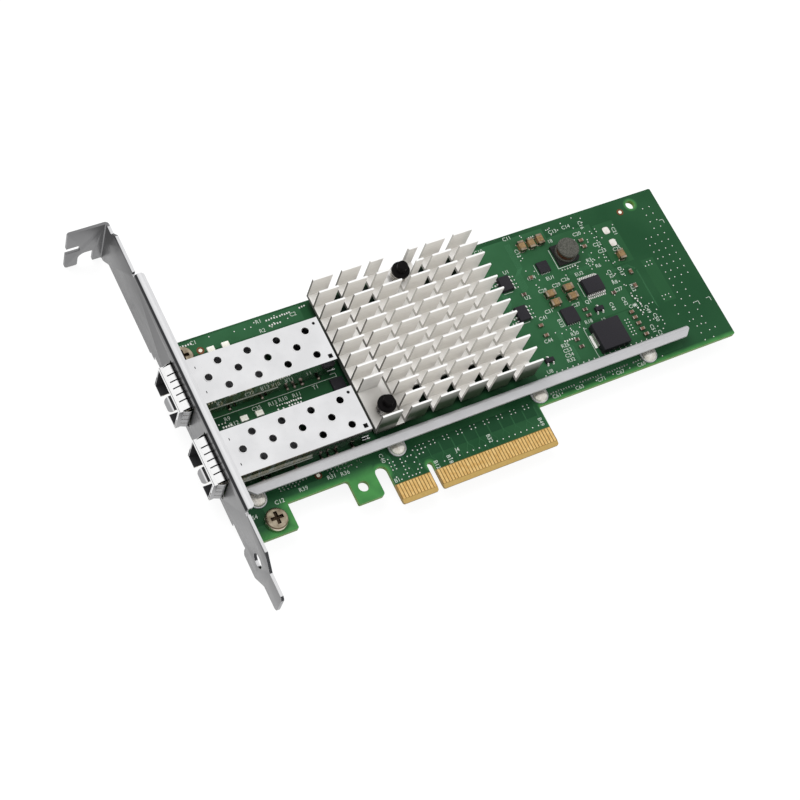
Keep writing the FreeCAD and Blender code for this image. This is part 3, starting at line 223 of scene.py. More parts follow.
def mask_finish(name, dark, light):
    """Green solder mask over laminate: cloudy copper below, bright borders, painted shade under the heatsink,
    tan laminate on cut edges.
    """
    f = Finish(name, dark, 0.42, Specular_IOR_Level=0.12)
    x, y = f.along("X"), f.along("Y")
    cloud = f.rise(f.noise(0.045, 2.0), 0.4, 0.62)
    mask = f.blend(f.both(cloud, f.spread(x, 1.0, 0.45, 50.0, 92.0)), dark, light)
    right_ear = f.both(f.rise(x, -46.4, -43.6), f.both(f.fall(y, 11.6, 14.0), f.fall(x, -42.6, -42.2)))
    foot_ear = f.both(f.fall(y, 4.8, 7.2), f.fall(x, -42.6, -42.2))
    relief = f.both(f.fall(y, 12.2, 13.9), f.between(x, -42.9, -24.0, 1.2))
    hook = f.both(f.fall(y, 11.0, 14.4), f.between(x, -24.4, -16.0, 0.6))
    slot = f.fall(f.away(-14.1, 10.6), 2.2, 3.3)
    long_edge = f.both(f.fall(y, 13.1, 14.2), f.rise(x, 38.6, 39.6))
    key = f.fall(f.away(0.0, 7.8), 1.1, 2.1)
    hole = f.fall(f.away(101.3, 64.4), 1.6, 2.5)
    border = f.either(f.either(f.either(right_ear, foot_ear), f.either(relief, hook)),
                      f.either(f.either(slot, long_edge), f.either(key, hole)))
    mask = f.blend(f.both(border, f.spread(f.noise(0.25, 2.0), 0.6, 1.0)), mask, (0.060, 0.235, 0.062))
    # painted shade: the mask under the heatsink is painted near black, for the shade that falls between the
    # fins
    painted_shade_under_sink = f.both(f.between(x, SINK_LOW.x + 1.5, SINK_HIGH.x - 2.5, 2.0),
                        f.between(y, SINK_LOW.y + 2.0, SINK_HIGH.y - 1.5, 1.5))
    mask = f.blend(painted_shade_under_sink, mask, (0.003, 0.010, 0.005))
    laminate = f.blend(f.noise(1.2), (0.38, 0.25, 0.075), (0.50, 0.34, 0.12))
    edge_green = f.blend(f.noise(0.3), (0.10, 0.26, 0.045), (0.20, 0.36, 0.08))
    on_tab = f.fall(y, CONTACTS_HIGH.y + 0.1, CONTACTS_HIGH.y + 0.25)
    in_tabs = f.both(on_tab, f.rise(x, CONTACTS_LOW.x - 1.2, CONTACTS_LOW.x - 1.0))
    edge = f.fall(f.facing("Z"), 0.96, 0.985)
    colour = f.blend(in_tabs, mask, f.blend(f.noise(0.9), (0.17, 0.10, 0.03), (0.27, 0.165, 0.05)))
    colour = f.blend(edge, colour, f.blend(in_tabs, edge_green, laminate))
    return f.done(colour, f.spread(f.noise(0.6), 0.36, 0.5), f.noise(2.2, 2.0), 0.10, 0.05)


def pour_finish(name, dark, light):
    """Solder mask over a copper pour, lighter beside the heatsink than at the free end."""
    f = Finish(name, light, 0.42, Specular_IOR_Level=0.12)
    cloud = f.spread(f.noise(0.08, 3.0), 0.35, 1.0)
    return f.done(f.blend(f.both(cloud, f.spread(f.along("X"), 1.0, 0.25, 48.0, 90.0)), dark, light),
                  f.spread(f.noise(0.5), 0.34, 0.5),
                  f.noise(2.5, 2.0), 0.1, 0.04)


def bar_finish(name, dark, light, roughness):
    """Plated sheet with a faint rolled grain along X."""
    f = Finish(name, light, roughness, 0.35)
    grain = f.noise(6.0, 4.0, (0.05, 1.0, 1.0))
    cloud = f.noise(0.12, 3.0)
    tone = f.math("ADD", f.math("MULTIPLY", grain, 0.5), f.math("MULTIPLY", cloud, 0.5))
    return f.done(f.blend(f.rise(tone, 0.38, 0.62), dark, light),
                  f.spread(grain, roughness - 0.06, roughness + 0.08),
                  grain, 0.16, 0.02)


def bracket_finish(name):
    """Satin plate, painted with light and shade: the -X face painted dark, dimming towards the flange, the lip
    painted pale as lit with a painted highlight on its edge, painted shade on slanted and upright cut edges, a
    painted dark line round the lip's bend and painted shade over the top flange.
    """
    f = Finish(name, (0.70, 0.70, 0.71), 0.34, 1.0)
    x, y, z = f.along("X"), f.along("Y"), f.along("Z")
    grain = f.noise(5.0, 4.0, (1.0, 0.05, 1.0))
    # painted shade: the -X face is painted dark grey, darkest part way up and a little lighter near the
    # flange, over its grain
    outer_face_shade = f.layers((0.222, 0.222, 0.225),
                     (f.rise(y, 30.0, 78.0), (0.090, 0.090, 0.093)),
                     (f.rise(y, 84.0, 103.0), (0.19, 0.19, 0.193)),
                     (f.spread(grain, 0.0, 0.12), (0.40, 0.40, 0.40)))
    # painted highlight: a strip along the lip's edge is painted near white
    painted_edge_highlight = f.both(f.between(x, -57.75, -57.2, 0.1), f.rise(z, 14.2, 14.4))
    # painted light: faces that don't face -X, the lip among them, are painted pale as lit
    pale = f.layers((0.69, 0.69, 0.70), (f.rise(grain), (0.78, 0.78, 0.79)),
                    (painted_edge_highlight, (0.81, 0.81, 0.82)))
    cut = f.both(f.fall(f.facing("X"), 0.2, 0.4), f.fall(x, -56.9, -56.7))
    # painted shade: slanted cut edges of the plate are painted near black, upright cut edges mid grey
    sloped_edge_shade = f.both(cut, f.between(f.leaning("Z"), 0.16, 0.90, 0.04))
    level = f.both(cut, f.fall(f.facing("Z"), 0.08, 0.16))
    # painted shade: a near-black line along the lip's bend, on faces leaning between -X and up
    rolled = f.both(f.between(f.leaning("Z"), 0.22, 0.80, 0.1), f.fall(f.leaning("X"), -0.5, -0.3))
    # painted shade: the bend into the top flange and the flange are painted a darker grey
    bend = f.both(f.rise(y, 103.0, 103.3), f.fall(x, -58.3, -58.0))
    colour = f.layers(pale,
                      (f.fall(f.leaning("X"), -0.97, -0.86), outer_face_shade),
                      (sloped_edge_shade, (0.055, 0.056, 0.06)),
                      (level, (0.32, 0.32, 0.325)),
                      (f.both(rolled, f.rise(z, 12.0, 12.6)), (0.035, 0.036, 0.038)),
                      (bend, (0.215, 0.215, 0.219)))
    return f.done(colour, f.spread(grain, 0.28, 0.42), grain, 0.12, 0.02)


def cage_finish(name):
    """Bright nickel sheet, a mirror on the sides, dull inside the cages with painted shade there, and painted
    shade on the cover under the collar's fingers.
    """
    f = Finish(name, (0.78, 0.78, 0.79), 0.15, 1.0)
    x, y, z = f.along("X"), f.along("Y"), f.along("Z")
    grain = f.noise(5.0, 3.0, (0.05, 1.0, 1.0))
    middle = sum((low.y + high.y) / 2 for low, high in CAGES.values()) / 2
    apart = abs((CAGES["a"][0].y - CAGES["b"][0].y) / 2)
    from_centre = f.math("ABSOLUTE", f.math("SUBTRACT", f.math("ABSOLUTE", f.math("SUBTRACT", y, middle), 0.0),
                                          apart), 0.0)
    inside = f.both(f.fall(from_centre, 6.50, 6.58), f.fall(z, 9.62, 9.68))
    inside = f.both(inside, f.rise(z, 0.50, 0.54))
    # painted shade: the cover's top under the collar's fingers is painted near black
    shade_under_fingers = f.both(f.between(x, -61.5, -58.9), f.rise(f.leaning("Z"), 0.8, 0.95))
    latch_front = f.both(f.fall(x, -60.9, -60.7), f.fall(z, 0.2, 0.4))
    # painted shade: inside the cages the sheet is painted near black by the mouth and dark grey further in
    inside_shade = f.blend(f.rise(x, -56.0, -52.0), (0.030, 0.030, 0.032), (0.30, 0.30, 0.31))
    sides = f.rise(f.facing("Y"), 0.8, 0.9)
    stripes = f.noise(1.6, 4.0, (1.0, 1.0, 0.05))
    # brownish vertical streaks on the flanks, stronger towards the mouth
    brown_side_streaks = f.both(f.both(sides, f.spread(x, 1.0, 0.25, -34.0, -30.0)), f.rise(stripes, 0.42, 0.56))
    outside = f.layers((0.74, 0.74, 0.75),
                       (f.rise(f.noise(0.12, 3.0), 0.38, 0.62), (0.80, 0.80, 0.81)),
                       (f.both(shade_under_fingers, f.rise(z, 9.4, 9.6)), (0.06, 0.06, 0.062)),
                       (latch_front, (0.34, 0.34, 0.345)),
                       (brown_side_streaks, (0.46, 0.40, 0.24)))
    haze = f.both(sides, f.spread(x, 0.09, 0.03, -34.0, -30.0))
    f.put("Metallic", f.math("SUBTRACT", f.spread(inside, 1.0, 0.2, 0.0, 1.0), haze))
    polish = f.math("SUBTRACT", f.spread(grain, 0.12, 0.19), f.math("MULTIPLY", sides, 0.09))
    return f.done(f.blend(inside, outside, inside_shade),
                  f.math("ADD", polish, f.math("MULTIPLY", inside, 0.4)),
                  grain, 0.05, 0.01)


def collar_finish(name):
    """White-bright spring strip: flanks painted grey as shade, and painted shade where it meets the plate."""
    f = Finish(name, (0.93, 0.93, 0.93), 0.3, 1.0)
    x = f.along("X")
    grain = f.noise(4.0, 3.0, (1.0, 0.2, 1.0))
    # painted shade: faces towards -Y are painted grey
    flank = f.fall(f.leaning("Y"), -0.8, -0.5)
    colour = f.layers((0.95, 0.95, 0.95),
                      (flank, f.blend(grain, (0.22, 0.22, 0.225), (0.46, 0.46, 0.465))),
                      (f.between(x, -62.58, -62.42, 0.03), (0.34, 0.34, 0.345)),
                      # painted shade: the fingers' ends past the plate's edge, in the gap, are painted near
                      # black
                      (f.rise(x, -59.5, -59.3), (0.05, 0.05, 0.052)))
    return f.done(colour, f.spread(grain, 0.26, 0.4), grain, 0.1, 0.02)


def screw_finish(name, centres, radius, top):
    """Warm nickel screw head: pale rim, darker ring inside it and a driving recess painted dark as shade."""
    f = Finish(name, (0.3, 0.25, 0.18), 0.24, 1.0)
    reach = f.math("MINIMUM", f.away(*centres[0]), f.away(*centres[1]))
    recess = f.both(f.fall(reach, radius * 0.56, radius * 0.60),
                    f.either(f.fall(f.along("Z"), top - 0.5, top - 0.3), f.fall(f.leaning("Z"), 0.5, 0.7)))
    # painted shade: the driving recess is painted dark and mottled
    recess_shade = f.blend(f.rise(f.noise(1.1)), (0.03, 0.018, 0.012), (0.17, 0.12, 0.075))
    colour = f.layers((0.20, 0.155, 0.105),
                      (f.rise(f.noise(0.5, 2.0)), (0.46, 0.40, 0.30)),
                      (f.rise(reach, radius - 0.55, radius - 0.40), (0.12, 0.085, 0.05)),
                      (f.rise(reach, radius - 0.30, radius - 0.15), (0.60, 0.53, 0.43)),
                      (recess, recess_shade))
    return f.done(colour, f.math("ADD", f.spread(f.noise(1.2), 0.18, 0.30), f.math("MULTIPLY", recess, 0.4)))


def extrusion_finish(name):
    """Pale cream extrusion: faint streaks, painted shade on the end faces towards -X, painted light on the
    channel bottoms and the fin tips, painted shade by the lower pin, and a painted reflection of the green
    board on the front row.
    """
    f = Finish(name, (0.84, 0.82, 0.79), 0.36, 0.3, Specular_IOR_Level=0.2)
    y, z = f.along("Y"), f.along("Z")
    streak = f.noise(4.0, 3.0, (0.05, 1.0, 1.0))
    # painted reflection: lower front-row faces towards -Y are painted dark green, as the board reflected in
    # them
    front = f.both(f.fall(f.leaning("Y"), -0.9, -0.7), f.fall(y, SINK_LOW.y + 2.4, SINK_LOW.y + 2.6))
    front = f.both(front, f.spread(z, 1.0, 0.38, SINK_LOW.z + 6.0, SINK_HIGH.z + 0.5))
    # painted shade: end faces towards -X are painted dark at the left and mid grey further right
    end_face_shade = f.blend(f.rise(f.along("X"), -4.0, 8.0), (0.12, 0.115, 0.105), (0.50, 0.49, 0.46))
    upward = f.rise(f.leaning("Z"), 0.5, 0.8)
    # painted light: the channel bottoms are painted near white, as lit from above
    lit_floors = f.both(upward, f.fall(z, 5.0, 5.4))
    # painted shade: the fins' lower parts around the lower pin are painted darker
    pin_shade = f.fall(f.away(PIN_LOW.x + 3.0, PIN_LOW.y + 3.0), 2.5, 9.5)
    colour = f.layers((0.73, 0.71, 0.675),
                      (f.rise(streak, 0.35, 0.65), (0.79, 0.77, 0.735)),
                      (front, (0.045, 0.070, 0.040)),
                      (f.fall(f.leaning("X"), -0.9, -0.6), end_face_shade),
                      (lit_floors, (0.97, 0.955, 0.93)),
                      (f.both(pin_shade, f.fall(z, 5.2, 6.4)), (0.44, 0.425, 0.395)),
                      # painted light: the fins' top faces are painted paler, as lit
                      (f.both(upward, f.rise(z, SINK_HIGH.z - 0.3, SINK_HIGH.z - 0.1)), (0.86, 0.86, 0.85)))
    f.put("Metallic", f.spread(lit_floors, 0.3, 0.6, 0.0, 1.0))
    polish = f.math("ADD", f.spread(streak, 0.30, 0.40), f.math("MULTIPLY", lit_floors, 0.2))
    return f.done(colour, polish, streak, 0.05, 0.01)


def plated_finish(name, dark, light, roughness):
    """Bright plating with slight cloudiness."""
    f = Finish(name, light, roughness, 1.0)
    return f.done(f.blend(f.rise(f.noise(0.8, 4.0)), dark, light),
                  f.spread(f.noise(1.5), roughness - 0.07, roughness + 0.1),
                  f.noise(5.0), 0.08, 0.02)


def haze_finish(name, dark, light, roughness):
    """Brushed plating that scatters part of the light, so it stays pale over a dark board."""
    f = Finish(name, light, roughness, 0.55)
    return f.done(f.blend(f.rise(f.noise(0.6, 3.0)), dark, light),
                  f.spread(f.noise(1.5), roughness - 0.06, roughness + 0.08))


def moulded_finish(name, dark, light, roughness, grain_mm=0.25, depth=0.02, gloss=0.5):
    """Moulded plastic or resin with a fine grain."""
    f = Finish(name, dark, roughness, Specular_IOR_Level=gloss)
    return f.done(f.blend(f.rise(f.noise(1.0 / grain_mm, 4.0), 0.35, 0.65), dark, light),
                  f.spread(f.noise(1.0), roughness - 0.08, roughness + 0.08),
                  f.noise(2.0 / grain_mm, 3.0), 0.3, depth)


def winding_finish(name):
    """Enamelled copper turns round an upright drum."""
    f = Finish(name, (0.45, 0.16, 0.06), 0.3, 0.8, Coat_Weight=0.4)
    turns = f.node("ShaderNodeTexWave", Vector=f.place((0.0, 0.0, 1.0)), Scale=0.7, bands_direction="Z")
    return f.done(f.blend(turns, (0.07, 0.022, 0.010), (0.24, 0.085, 0.040)), None, turns, 0.8, 0.1)


def lamp_finish(name):
    """Milky lens of a status lamp over its white base."""
    f = Finish(name, (0.86, 0.85, 0.78), 0.25, Coat_Weight=0.3)
    return f.done(f.blend(f.rise(f.noise(0.9)), (0.78, 0.76, 0.66), (0.93, 0.93, 0.88)))


SCREWS_LOW, SCREWS_HIGH = node_box("bracket_screws")
SCREW_HEAD_RADIUS = 3.4
SCREW_CENTRES = ((SCREWS_HIGH.x - SCREW_HEAD_RADIUS, SCREWS_LOW.y + SCREW_HEAD_RADIUS),
                 (SCREWS_LOW.x + SCREW_HEAD_RADIUS, SCREWS_HIGH.y - SCREW_HEAD_RADIUS))
MOULDED = {
    # finish: name, dark, light, roughness, grain in mm, depth of its relief in mm, gloss
    "letters": ("white_legend", (0.40, 0.46, 0.40), (0.54, 0.59, 0.53), 0.6),
    "package": ("black_moulding_compound", (0.0145, 0.0135, 0.0165),
                (0.0215, 0.020, 0.0245), 0.42, 0.25, 0.02, 0.15),
    "connector": ("black_connector_moulding", (0.010, 0.010, 0.011),
                  (0.020, 0.020, 0.022), 0.5, 0.25, 0.02, 0.2),
    "base": ("black_ferrite_base", (0.010, 0.010, 0.010), (0.020, 0.020, 0.019), 0.5, 0.25, 0.02, 0.2),
    "pin": ("black_nylon", (0.002, 0.002, 0.002), (0.005, 0.004, 0.004), 0.36, 0.25, 0.02, 0.07),
    "pad": ("grey_gap_pad", (0.34, 0.35, 0.37), (0.46, 0.47, 0.5), 0.7),
    "capacitor": ("tan_capacitor_block", (0.17, 0.105, 0.045), (0.28, 0.18, 0.085), 0.45, 0.5, 0.02, 0.3),
    "capacitor_small": ("brown_capacitor_block", (0.115, 0.062, 0.040),
                        (0.20, 0.115, 0.075), 0.45, 0.4, 0.02, 0.3),
    "resistor": ("dark_resistor_film", (0.035, 0.018, 0.013), (0.08, 0.04, 0.03), 0.35, 0.4, 0.02, 0.3),
    "ferrite": ("dark_ferrite", (0.035, 0.036, 0.029), (0.10, 0.10, 0.085), 0.6, 0.35, 0.06, 0.3),
    "edge_sheet": ("cut_sheet_edge", (0.36, 0.38, 0.33), (0.48, 0.50, 0.45), 0.5),
    "cream": ("tinned_centre_dot", (0.80, 0.74, 0.60), (0.92, 0.88, 0.78), 0.4),
}
PLATED = {
    # finish: name, dark, light, roughness
    "gold": ("gold_plate", (0.66, 0.40, 0.13), (0.84, 0.59, 0.25), 0.34),
    "tin": ("bright_tin", (0.66, 0.65, 0.62), (0.88, 0.87, 0.84), 0.3),
    "coil": ("bright_coil_wire", (0.52, 0.50, 0.46), (0.80, 0.78, 0.74), 0.25),
    # real raised rims and tabs, painted near white as a highlight of light caught on their edges
    "rim": ("rim_painted_highlight", (0.90, 0.90, 0.90), (0.96, 0.96, 0.96), 0.45),
    "capacitor_end": ("tarnished_capacitor_end", (0.15, 0.11, 0.075), (0.40, 0.33, 0.25), 0.35),
    "copper": ("bare_copper_ring", (0.13, 0.055, 0.028), (0.24, 0.10, 0.05), 0.4),
    "solder": ("grey_solder", (0.20, 0.17, 0.13), (0.56, 0.52, 0.45), 0.3),
    "screw_tin": ("dull_solder", (0.20, 0.16, 0.13), (0.44, 0.40, 0.35), 0.35),
}
FINISHES = {
    "board": mask_finish("green_solder_mask", (0.010, 0.056, 0.020), (0.020, 0.082, 0.032)),
    "pour_light": pour_finish("masked_copper_light", (0.014, 0.068, 0.024), (0.030, 0.112, 0.048)),
    "pour_dark": pour_finish("masked_copper_dark", (0.006, 0.040, 0.015), (0.010, 0.052, 0.020)),
    "trace": pour_finish("masked_traces", (0.026, 0.098, 0.040), (0.048, 0.160, 0.076)),
    "bracket": bracket_finish("satin_bracket_plate"),
    "cage": cage_finish("bright_cage_sheet"),
    "spring": collar_finish("bright_spring_strip"),
    "heatsink": extrusion_finish("pale_extrusion"),
    "bar": bar_finish("light_grey_bar", (0.44, 0.44, 0.45), (0.49, 0.49, 0.50), 0.44),
    "rivet": haze_finish("bright_nickel", (0.54, 0.50, 0.44), (0.82, 0.80, 0.75), 0.22),
    "screw": screw_finish("warm_nickel", SCREW_CENTRES, SCREW_HEAD_RADIUS, SCREWS_HIGH.z),
    "led": lamp_finish("milky_lens"),
    "winding": winding_finish("enamelled_winding"),
}
FINISHES.update({key: moulded_finish(*values) for key, values in MOULDED.items()})
FINISHES.update({key: plated_finish(*values) for key, values in PLATED.items()})


# ---- Mesh helpers
def add_piece(name, mesh, finish, smooth_angle=35.0):
    """Links a finished mesh, in metres in the card's frame, as a piece of the card."""
    piece = linked(name, mesh)
    mesh.materials.clear()
    mesh.materials.append(FINISHES[finish])
    for face in mesh.polygons:
        face.use_smooth = True
    mesh.set_sharp_from_angle(angle=math.radians(smooth_angle))
    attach(piece, BODY)
    return piece


def evaluated_mesh(carrier):
    """Plain mesh of an object with its modifiers applied; the object is then deleted."""
    bpy.context.view_layer.update()
    result = carrier.evaluated_get(bpy.context.evaluated_depsgraph_get())
    mesh = bpy.data.meshes.new_from_object(result)
    bpy.data.objects.remove(carrier)
    return mesh


def mesh_of(name, work):
    """Turns a finished bmesh into a mesh."""
    mesh = bpy.data.meshes.new(name)
    work.to_mesh(mesh)
    work.free()
    return mesh


def softened(node, width_mm, segments=2):
    """A copy of a solid's mesh, merged into clean faces, with its sharp edges rounded."""
    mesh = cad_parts[node].data.copy()
    work = bmesh.new()
    work.from_mesh(mesh)
    bmesh.ops.remove_doubles(work, verts=work.verts, dist=0.001 * MM)
    bmesh.ops.dissolve_limit(work, angle_limit=math.radians(1.0), verts=work.verts, edges=work.edges)
    work.to_mesh(mesh)
    work.free()
    if width_mm:
        carrier = linked("carrier", mesh)
        rounding = carrier.modifiers.new("rounding", "BEVEL")
        rounding.width = width_mm * MM
        rounding.segments = segments
        rounding.limit_method = "ANGLE"
        rounding.angle_limit = math.radians(38.0)
        rounding.use_clamp_overlap = True
        mesh = evaluated_mesh(carrier)
    return mesh


def prism(work, outline, low, high):
    """Adds a closed prism over a counter-clockwise outline of (x, y) in millimetres."""
    bottom = [work.verts.new((x * MM, y * MM, low * MM)) for x, y in outline]
    top = [work.verts.new((x * MM, y * MM, high * MM)) for x, y in outline]
    work.faces.new(list(reversed(bottom)))
    work.faces.new(top)
    count = len(outline)
    for i in range(count):
        j = (i + 1) % count
        work.faces.new((bottom[i], bottom[j], top[j], top[i]))


def rectangle(x0, y0, x1, y1):
    return [(x0, y0), (x1, y0), (x1, y1), (x0, y1)]


def strip(start, end, width):
    """Outline of a straight strip between two points."""
    along = (Vector(end) - Vector(start)).normalized()
    side = Vector((-along.y, along.x)) * width / 2
    a, b = Vector(start), Vector(end)
    return [tuple(a - side), tuple(b - side), tuple(b + side), tuple(a + side)]


def ribbon(points, width):
    """Outline of a mitred strip through several points."""
    left, right = [], []
    for i, point in enumerate(points):
        here = Vector(point)
        before = (here - Vector(points[i - 1])).normalized() if i else None
        after = (Vector(points[i + 1]) - here).normalized() if i + 1 < len(points) else None
        before = before or after
        after = after or before
        mean = (before + after).normalized()
        side = Vector((-mean.y, mean.x)) * width / 2 / max(mean.dot(before), 0.4)
        left.append(tuple(here + side))
        right.append(tuple(here - side))
    return right + list(reversed(left))


def flat_piece(name, outlines, low, high, finish):
    """A piece made of many closed prisms of one height."""
    work = bmesh.new()
    for outline in outlines:
        prism(work, outline, low, high)
    return add_piece(name, mesh_of(name, work), finish)


# ---- Geometry Nodes for what repeats
def scatter_tree(name, shape, inputs, finish):
    """Tree that sets a shape on each of its points, sized by named inputs and the points' own values."""
    tree = bpy.data.node_groups.new(name, "GeometryNodeTree")
    tree.interface.new_socket("Points", in_out="INPUT", socket_type="NodeSocketGeometry")
    for label, default in inputs.items():
        socket = tree.interface.new_socket(label, in_out="INPUT", socket_type="NodeSocketFloat")
        socket.default_value = default
    tree.interface.new_socket("Pieces", in_out="OUTPUT", socket_type="NodeSocketGeometry")
    given = tree.nodes.new("NodeGroupInput").outputs
    target = tree.nodes.new("NodeGroupOutput")
    turn, stretch = [add_node(tree, "GeometryNodeInputNamedAttribute", data_type="FLOAT_VECTOR", Name=label,
                              output="Attribute") for label in ("turn", "stretch")]
    pieces = add_node(tree, "GeometryNodeInstanceOnPoints", Points=given["Points"],
                      Instance=shape(tree, given), Rotation=turn, Scale=stretch)
    pieces = add_node(tree, "GeometryNodeRealizeInstances", Geometry=pieces)
    pieces = add_node(tree, "GeometryNodeSetMaterial", Geometry=pieces, Material=FINISHES[finish])
    tree.links.new(pieces, target.inputs["Pieces"])
    return tree


def disc_shape(sides):
    """Short upright cylinder with inputs Radius and Height."""
    def build(tree, given):
        return add_node(tree, "GeometryNodeMeshCylinder", Vertices=sides, Radius=given["Radius"],
                        Depth=given["Height"])
    return build


def block_shape(tree, given):
    """Unit block, sized by each point's own stretch and the input Height."""
    return add_node(tree, "GeometryNodeMeshCube",
                    Size=add_node(tree, "ShaderNodeCombineXYZ", MM, MM, given["Height"]))


def ring_shape(tree, given):
    """Flat rounded ring with inputs Radius and Wire."""
    path = add_node(tree, "GeometryNodeCurvePrimitiveCircle", Resolution=20, Radius=given["Radius"])
    section = add_node(tree, "GeometryNodeCurvePrimitiveCircle", Resolution=6, Radius=given["Wire"])
    return add_node(tree, "GeometryNodeCurveToMesh", Curve=path, Profile_Curve=section)


def dome_shape(tree, given):
    """Low rounded solder mound with the input Radius."""
    return add_node(tree, "GeometryNodeMeshUVSphere", Segments=10, Rings=6, Radius=given["Radius"])


def scattered(name, shape, sizes, places, finish, smooth_angle=35.0):
    """Sets one shape at each place: (x, y, z) in mm, with optional turn in radians and stretch."""
    mesh = bpy.data.meshes.new(name + "_points")
    mesh.from_pydata([[c * MM for c in place[0]] for place in places], [], [])
    for label, index, default in (("turn", 1, (0, 0, 0)), ("stretch", 2, (1, 1, 1))):
        values = mesh.attributes.new(label, "FLOAT_VECTOR", "POINT")
        for item, place in zip(values.data, places):
            item.vector = place[index] if len(place) > index else default
    carrier = linked("carrier", mesh)
    tree = scatter_tree(name + "_tree", shape, {k: v * MM for k, v in sizes.items()}, finish)
    modifier = carrier.modifiers.new("repeat", "NODES")
    modifier.node_group = tree
    for item in tree.interface.items_tree:
        if item.in_out == "INPUT" and item.name in sizes:
            modifier[item.identifier] = sizes[item.name] * MM
    return add_piece(name, evaluated_mesh(carrier), finish, smooth_angle)


# ---- The solids' own pieces, with rounded edges
ROUNDED = {
    # node: (finish and slot, rounding in mm, segments)
    "bracket": ("bracket", 0.10, 2),
    "stiffener_bar": ("bar", 0.10, 2),
    "heatsink": ("heatsink", 0.07, 1),
    "bracket_screws": ("screw", 0.08, 2),
    "stiffener_rivets": ("rivet", 0.06, 1),
    "cage_cover_a": ("cage", 0.05, 1),
    "cage_cover_b": ("cage", 0.05, 1),
    "cage_base_a": ("cage", 0.04, 1),
    "cage_base_b": ("cage", 0.04, 1),
    "cage_spring_a": ("spring", 0.02, 1),
    "cage_spring_b": ("spring", 0.02, 1),
    "push_pins": ("pin", 0.08, 2),
    "interface_chip": ("package", 0.06, 2),
    "memory_chips": ("package", 0.06, 2),
    "transistors": ("package", 0.05, 1),
    "power_controller": ("package", 0.04, 1),
    "regulator": ("package", 0.04, 1),
    "port_chip": ("package", 0.05, 1),
    "moulded_inductor": ("package", 0.18, 3),
    "moulded_inductor_terminals": ("tin", 0.03, 1),
    "drum_inductor_base": ("base", 0.06, 1),
    "drum_inductor_core": ("ferrite", 0.08, 1),
    "large_capacitors": ("capacitor", 0.05, 1),
    "large_capacitor_terminals": ("capacitor_end", 0.10, 2),
    "small_capacitors": ("capacitor_small", 0.04, 1),
    "small_capacitor_terminals": ("solder", 0.06, 1),
    "resistors": ("resistor", 0.03, 1),
    "resistor_terminals": ("solder", 0.05, 1),
    "status_leds": ("led", 0.10, 2),
}
PLAIN = {
    "pcb": "board",
    "contacts_component_side": "gold",
    "contacts_solder_side": "gold",
    "host_connector_a": "connector",
    "host_connector_b": "connector",
    "host_contacts_a": "tin",
    "host_contacts_b": "tin",
    "controller_chip": "package",
    "thermal_pad": "pad",
    "push_pin_springs": "coil",
    "interface_chip_leads": "tin",
    "memory_chip_leads": "tin",
    "transistor_leads": "tin",
    "drum_inductor_winding": "winding",
}


def finish_solids():
    """Rounded copies for the pieces whose edges show, and finishes for the rest."""
    for node, (finish, width, segments) in ROUNDED.items():
        piece = add_piece(node + "_rounded", softened(node, width, segments), finish)
        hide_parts(node)
    for node, finish in PLAIN.items():
        mesh_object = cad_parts[node]
        for place in mesh_object.material_slots:
            place.material = FINISHES[finish]


# ---- Board surface
LIGHT_POURS = [
    rectangle(43.0, 20.2, 69.0, 66.2), rectangle(69.3, 32.0, 84.6, 62.5), rectangle(85.2, 46.5, 92.5, 61.5),
    rectangle(-56.2, 62.3, -14.0, 67.0), rectangle(76.8, 20.2, 82.0, 31.6),
    rectangle(94.2, 30.0, 98.6, 45.4), rectangle(39.8, 14.5, 92.0, 17.4),
]
DARK_POURS = [
    rectangle(-10.2, 10.4, 37.6, 14.9), rectangle(-41.8, 15.2, -26.0, 18.0),
    rectangle(-56.0, 8.6, -50.0, 14.5),
    rectangle(-56.0, 37.0, -44.5, 42.0),
]
TRACE_WIDTH = 0.13
TRACE_PITCH = 0.32


def bundle(start, turns, count, pitch=TRACE_PITCH):
    """Parallel traces: start point and a list of (dx, dy) runs, stepped sideways for each trace."""
    lines = []
    for i in range(count):
        offset = i * pitch
        x, y = start
        first = Vector(turns[0]).normalized()
        x += -first.y * offset
        y += first.x * offset
        points = [(x, y)]
        for k, (dx, dy) in enumerate(turns):
            shorten = offset * 0.41 if 0 < k < len(turns) else offset * 0.2
            run = Vector((dx, dy))
            run *= max(0.2, (run.length - shorten) / run.length)
            x, y = x + run.x, y + run.y
            points.append((x, y))
        lines.append(ribbon(points, TRACE_WIDTH))
    return lines


TRACE_BUNDLES = (
    # start, runs, count
    ((43.5, 60.0), [(0, -6), (2.5, -2.5), (0, -8)], 7),
    ((55.0, 64.5), [(0, -9), (-2, -2), (0, -6)], 6),
    ((-20.5, 37.2), [(-6, 0), (-1.5, 1.5), (-18, 0)], 5),
    ((-50.0, 19.2), [(12, 0), (1.5, 1.0), (18, 0)], 4),
    ((-12.0, 16.2), [(0, -1.2), (1.2, -1.2), (0, -4.6)], 5),
    ((83.5, 45.0), [(6, 0), (2, -2), (0, -14)], 3),
    ((70.0, 48.6), [(8, 0), (1.5, 1.5), (0, 3)], 4),
    ((56.0, 33.0), [(0, -5), (2, -2), (0, -5)], 5),
)
CONTACT_PITCH = 1.0
FIRST_CONTACT = 1.5            # first contact on each side of the key slot
CONTACT_X = [-(FIRST_CONTACT + CONTACT_PITCH * i) for i in range(11)]
CONTACT_X += [FIRST_CONTACT + CONTACT_PITCH * i for i in range(38)]
CONTACT_TRACE_BEND = 0.9


